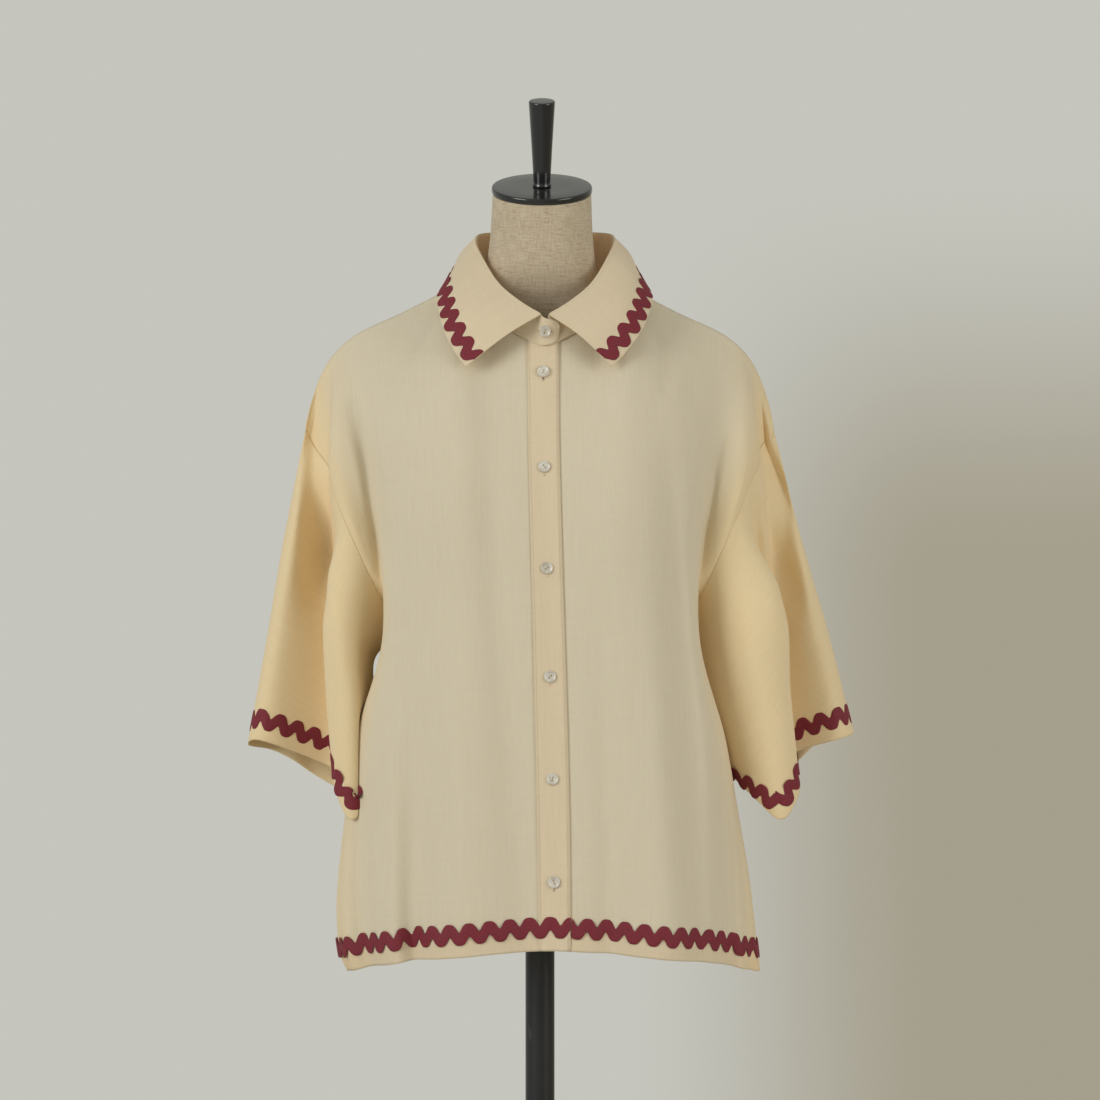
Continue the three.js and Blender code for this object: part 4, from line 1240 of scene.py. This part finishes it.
leaf_edge = leaf_grid[-1]
leaf_inner = leaf_grid[-6]
toward = leaf_inner - leaf_edge
toward /= np.linalg.norm(toward, axis=1, keepdims=True)
leaf_way = np.cross(-toward, np.gradient(leaf_edge, axis=0))
leaf_way /= np.linalg.norm(leaf_way, axis=1, keepdims=True)
collar_line = [(leaf_edge[k] + toward[k] * 12.2 + leaf_way[k] * LEAF_THICK, leaf_way[k])
               for k in range(len(leaf_edge))]
collar_braid = sew_ricrac("ricrac_collar_edge", ["ricrac_collar"], collar_line, 0.1)


# ---- Stitches ----------------------------------------------------------------
# Cotton sewing thread in the colour of the cloth, about eight stitches to the inch,
# along both sides of the placket.
STITCH_LENGTH = 2.3
STITCH_SPACING = 3.0
THREAD_WIDTH = 0.45


def stitch_nodes():
    n = Nodes("stitch_row", {"Stitches": "Int", "Length": "Float", "Width": "Float", "Turn": "Float",
                             "Lift": "Float", "Material": "Material"})
    curve = n.add("GeometryNodeMeshToCurve", Mesh=n.input.outputs["Geometry"]).outputs["Curve"]
    even = n.add("GeometryNodeResampleCurve", Curve=curve, Count=n.given("Stitches")).outputs["Curve"]
    out_way = n.vector("NORMALIZE", n.named("out", "FLOAT_VECTOR"))
    along_way = n.add("GeometryNodeInputTangent").outputs[0]
    side = n.vector("CROSS_PRODUCT", out_way, along_way)
    turned_way = n.vector("ADD", n.vector("SCALE", along_way, scale=n.math("COSINE", n.given("Turn"))),
                          n.vector("SCALE", side, scale=n.math("SINE", n.given("Turn"))))
    seat = n.vector("SCALE", out_way, scale=n.given("Lift"))
    even = n.add("GeometryNodeSetPosition", Geometry=even, Offset=seat).outputs["Geometry"]
    grain = n.add("GeometryNodeMeshUVSphere", Segments=8, Rings=5, Radius=0.5).outputs["Mesh"]
    wide = n.given("Width")
    size = n.add("ShaderNodeCombineXYZ", X=n.given("Length"), Y=wide, Z=wide).outputs[0]
    grain = n.add("GeometryNodeTransform", Geometry=grain, Scale=size).outputs["Geometry"]
    aim = n.add("FunctionNodeAxesToRotation", {"primary_axis": "Z", "secondary_axis": "X"})
    n.set(aim.inputs["Primary Axis"], out_way)
    n.set(aim.inputs["Secondary Axis"], turned_way)
    rowed = n.add("GeometryNodeInstanceOnPoints", Points=even, Instance=grain, Rotation=aim.outputs[0])
    smooth = n.add("GeometryNodeSetShadeSmooth", Geometry=rowed.outputs["Instances"]).outputs["Geometry"]
    return n.finish(smooth, n.given("Material"))


def thread_material(name, colour):
    material, tree, shader = principled(name, Roughness=0.75)
    twist = noise_on(tree, tree.nodes.new("ShaderNodeTexCoord").outputs["Object"], 2500, 2)
    tone = ramp_between(tree, twist, tuple(c * 0.8 for c in colour), colour)
    put(tree, tone, shader.inputs["Base Color"])
    return material


stitches = stitch_nodes()
cream_thread = thread_material("cream_thread", (0.74, 0.62, 0.42))


def stitch_row(name, guide, spacing=STITCH_SPACING, length=STITCH_LENGTH, width=THREAD_WIDTH, turn=0.0,
               lift=0.1, material=cream_thread):
    run = sum(np.linalg.norm(b[0] - a[0]) for a, b in zip(guide, guide[1:]))
    piece = made_by_nodes(name, [g[0] for g in guide], [g[1] for g in guide], stitches, {
        "Stitches": max(2, round(run / spacing)), "Length": length * MM, "Width": width * MM, "Turn": turn,
        "Lift": lift * MM, "Material": material})
    return piece


for label, u in (("outer", -PLACKET_HALF + 2.2), ("free", PLACKET_HALF - 2.4)):
    rows = np.linspace(0.6, ROWS - 0.5, 160)
    stitch_row("placket_stitches_" + label, [on_body(0, u, r, PLACKET_THICK) for r in rows])


# ---- Buttons -----------------------------------------------------------------
# Two-hole shell buttons 12 mm across, dished in the middle, sewn on with cream
# thread. The one on the stand has a lying buttonhole, and the six below it have
# upright ones with close zigzag stitches round the slit.
HOLE_RADIUS = 0.75
HOLE_APART = 1.35
BUTTONHOLE = 17
BUTTON_HEIGHTS = [1103, 1010, 913, 809, 711, 613]


def shell_material():
    material, tree, shader = principled(
        "pearly_shell", Roughness=0.22, Coat_Weight=0.4, Coat_Roughness=0.12,
        Subsurface_Weight=0.2, Subsurface_Radius=(0.002, 0.0018, 0.0015))
    place = tree.nodes.new("ShaderNodeTexCoord").outputs["Object"]
    cloud = noise_on(tree, place, 190, 4, (1, 1, 0.45))
    colour = ramp_between(tree, cloud, (0.56, 0.51, 0.42), (0.78, 0.74, 0.67), (0.35, 0.65))
    put(tree, colour, shader.inputs["Base Color"])
    return material


pearl = shell_material()
# Painted shadow colour for the dark sheet in each buttonhole's slit.
slit_shadow_paint = principled("buttonhole_slit", Base_Color=(0.16, 0.11, 0.06, 1), Roughness=0.9)[0]

button_profile = [
    (0, 0), (4.6, 0), *arc(4.9, 1.0, 1.0, -60, 60, 4), (5.3, 1.9), *arc(4.9, 1.75, 0.45, 20, 120, 4),
    (4.2, 1.75), (3.7, 1.5), (3.2, 1.42), (1.0, 1.42), (0, 1.42)]


def sew_button(number, seat, way, tilt=0.0, lying=False):
    """A button with its thread and its buttonhole, on a point of the cloth."""
    up = np.array((0, 0, 1)) - way * way[2]
    up /= np.linalg.norm(up)
    right = np.cross(up, way)
    turn = math.radians(tilt)
    holes_way = up * math.cos(turn) + right * math.sin(turn)
    axes = Matrix((np.cross(holes_way, way), holes_way, way)).transposed().to_4x4()
    place = Matrix.Translation(seat + way * 0.5) @ axes
    name = "button_%d_shell" % number
    body = turned(name, button_profile, 48, place)
    for offset in (-HOLE_APART, HOLE_APART):
        drill_at = place @ Matrix.Translation((0, offset, 0))
        drill = turned("drill", [(0, -2), (HOLE_RADIUS, -2), (HOLE_RADIUS, 4), (0, 4)], 16, drill_at)
        cutting = body.modifiers.new("hole", "BOOLEAN")
        cutting.operation = "DIFFERENCE"
        cutting.object = drill
        graph = bpy.context.evaluated_depsgraph_get()
        holed = bpy.data.meshes.new_from_object(body.evaluated_get(graph), depsgraph=graph)
        body.modifiers.clear()
        body.data = holed
        bpy.data.objects.remove(drill)
    body.data.name = name
    body.data.set_sharp_from_angle(angle=math.radians(40))
    body.data.materials.clear()
    body.data.materials.append(pearl)
    finished(body, "button", "button_%d" % number)

    face = seat + way * 2.05
    thread = []
    for shift in (-0.28, 0.0, 0.28):
        offset = np.cross(holes_way, way) * shift
        ends = [face + offset + holes_way * HOLE_APART * k for k in (-1.0, -0.4, 0.4, 1.0)]
        ends[0] = ends[0] - way * 0.9
        ends[-1] = ends[-1] - way * 0.9
        thread.append([(p, way) for p in ends])
    for k, strand in enumerate(thread):
        stitch_row("button_%d_thread_%d" % (number, k + 1), strand, 0.22, 0.5, 0.34, lift=0.0)

    slit_way = right if lying else up
    slit_side = np.cross(way, slit_way)
    centre = seat - (np.zeros(3) if lying else up * 1.5)
    ring = []
    for k in range(65):
        a = 2 * math.pi * k / 64
        reach = (BUTTONHOLE / 2 - 1.0) * math.copysign(min(1, abs(math.cos(a)) ** 0.35), math.cos(a))
        ring.append((centre + slit_way * reach + slit_side * 1.05 * math.copysign(abs(math.sin(a)) ** 0.8,
                    math.sin(a)) + way * 0.1, way))
    stitch_row("buttonhole_%d" % number, ring, 0.42, 1.1, 0.36, math.pi / 2, 0.05)
    # The slit is a dark sheet, a painted shadow in the cut.
    corners = [centre + slit_way * a * (BUTTONHOLE / 2 - 1.4) + slit_side * b * 0.3 + way * 0.12
               for a, b in ((-1, -1), (1, -1), (1, 1), (-1, 1))]
    slit = new_object("buttonhole_slit_%d" % number, corners, [(0, 1, 2, 3)])
    slit.data.materials.append(slit_shadow_paint)
    finished(slit, "cotton")


stand_middle = (stand_grid[3][LAP_START] + stand_grid[3][LAP_START + 1]) / 2
stand_down = stand_grid[6][LAP_START] - stand_grid[0][LAP_START]
stand_way = np.array((0, stand_down[2], -stand_down[1]))
stand_way /= np.linalg.norm(stand_way)
sew_button(1, np.array((5, stand_middle[1], stand_middle[2])) + stand_way * 0.1, stand_way, 15, True)
for number, height in enumerate(BUTTON_HEIGHTS):
    spots = [on_body(0, 0, r, PLACKET_THICK) for r in np.linspace(0, ROWS, 600)]
    seat, way = min(spots, key=lambda spot: abs(spot[0][2] - height))
    sew_button(number + 2, seat, way, (20, -35, 65, 50, 10, -25)[number])
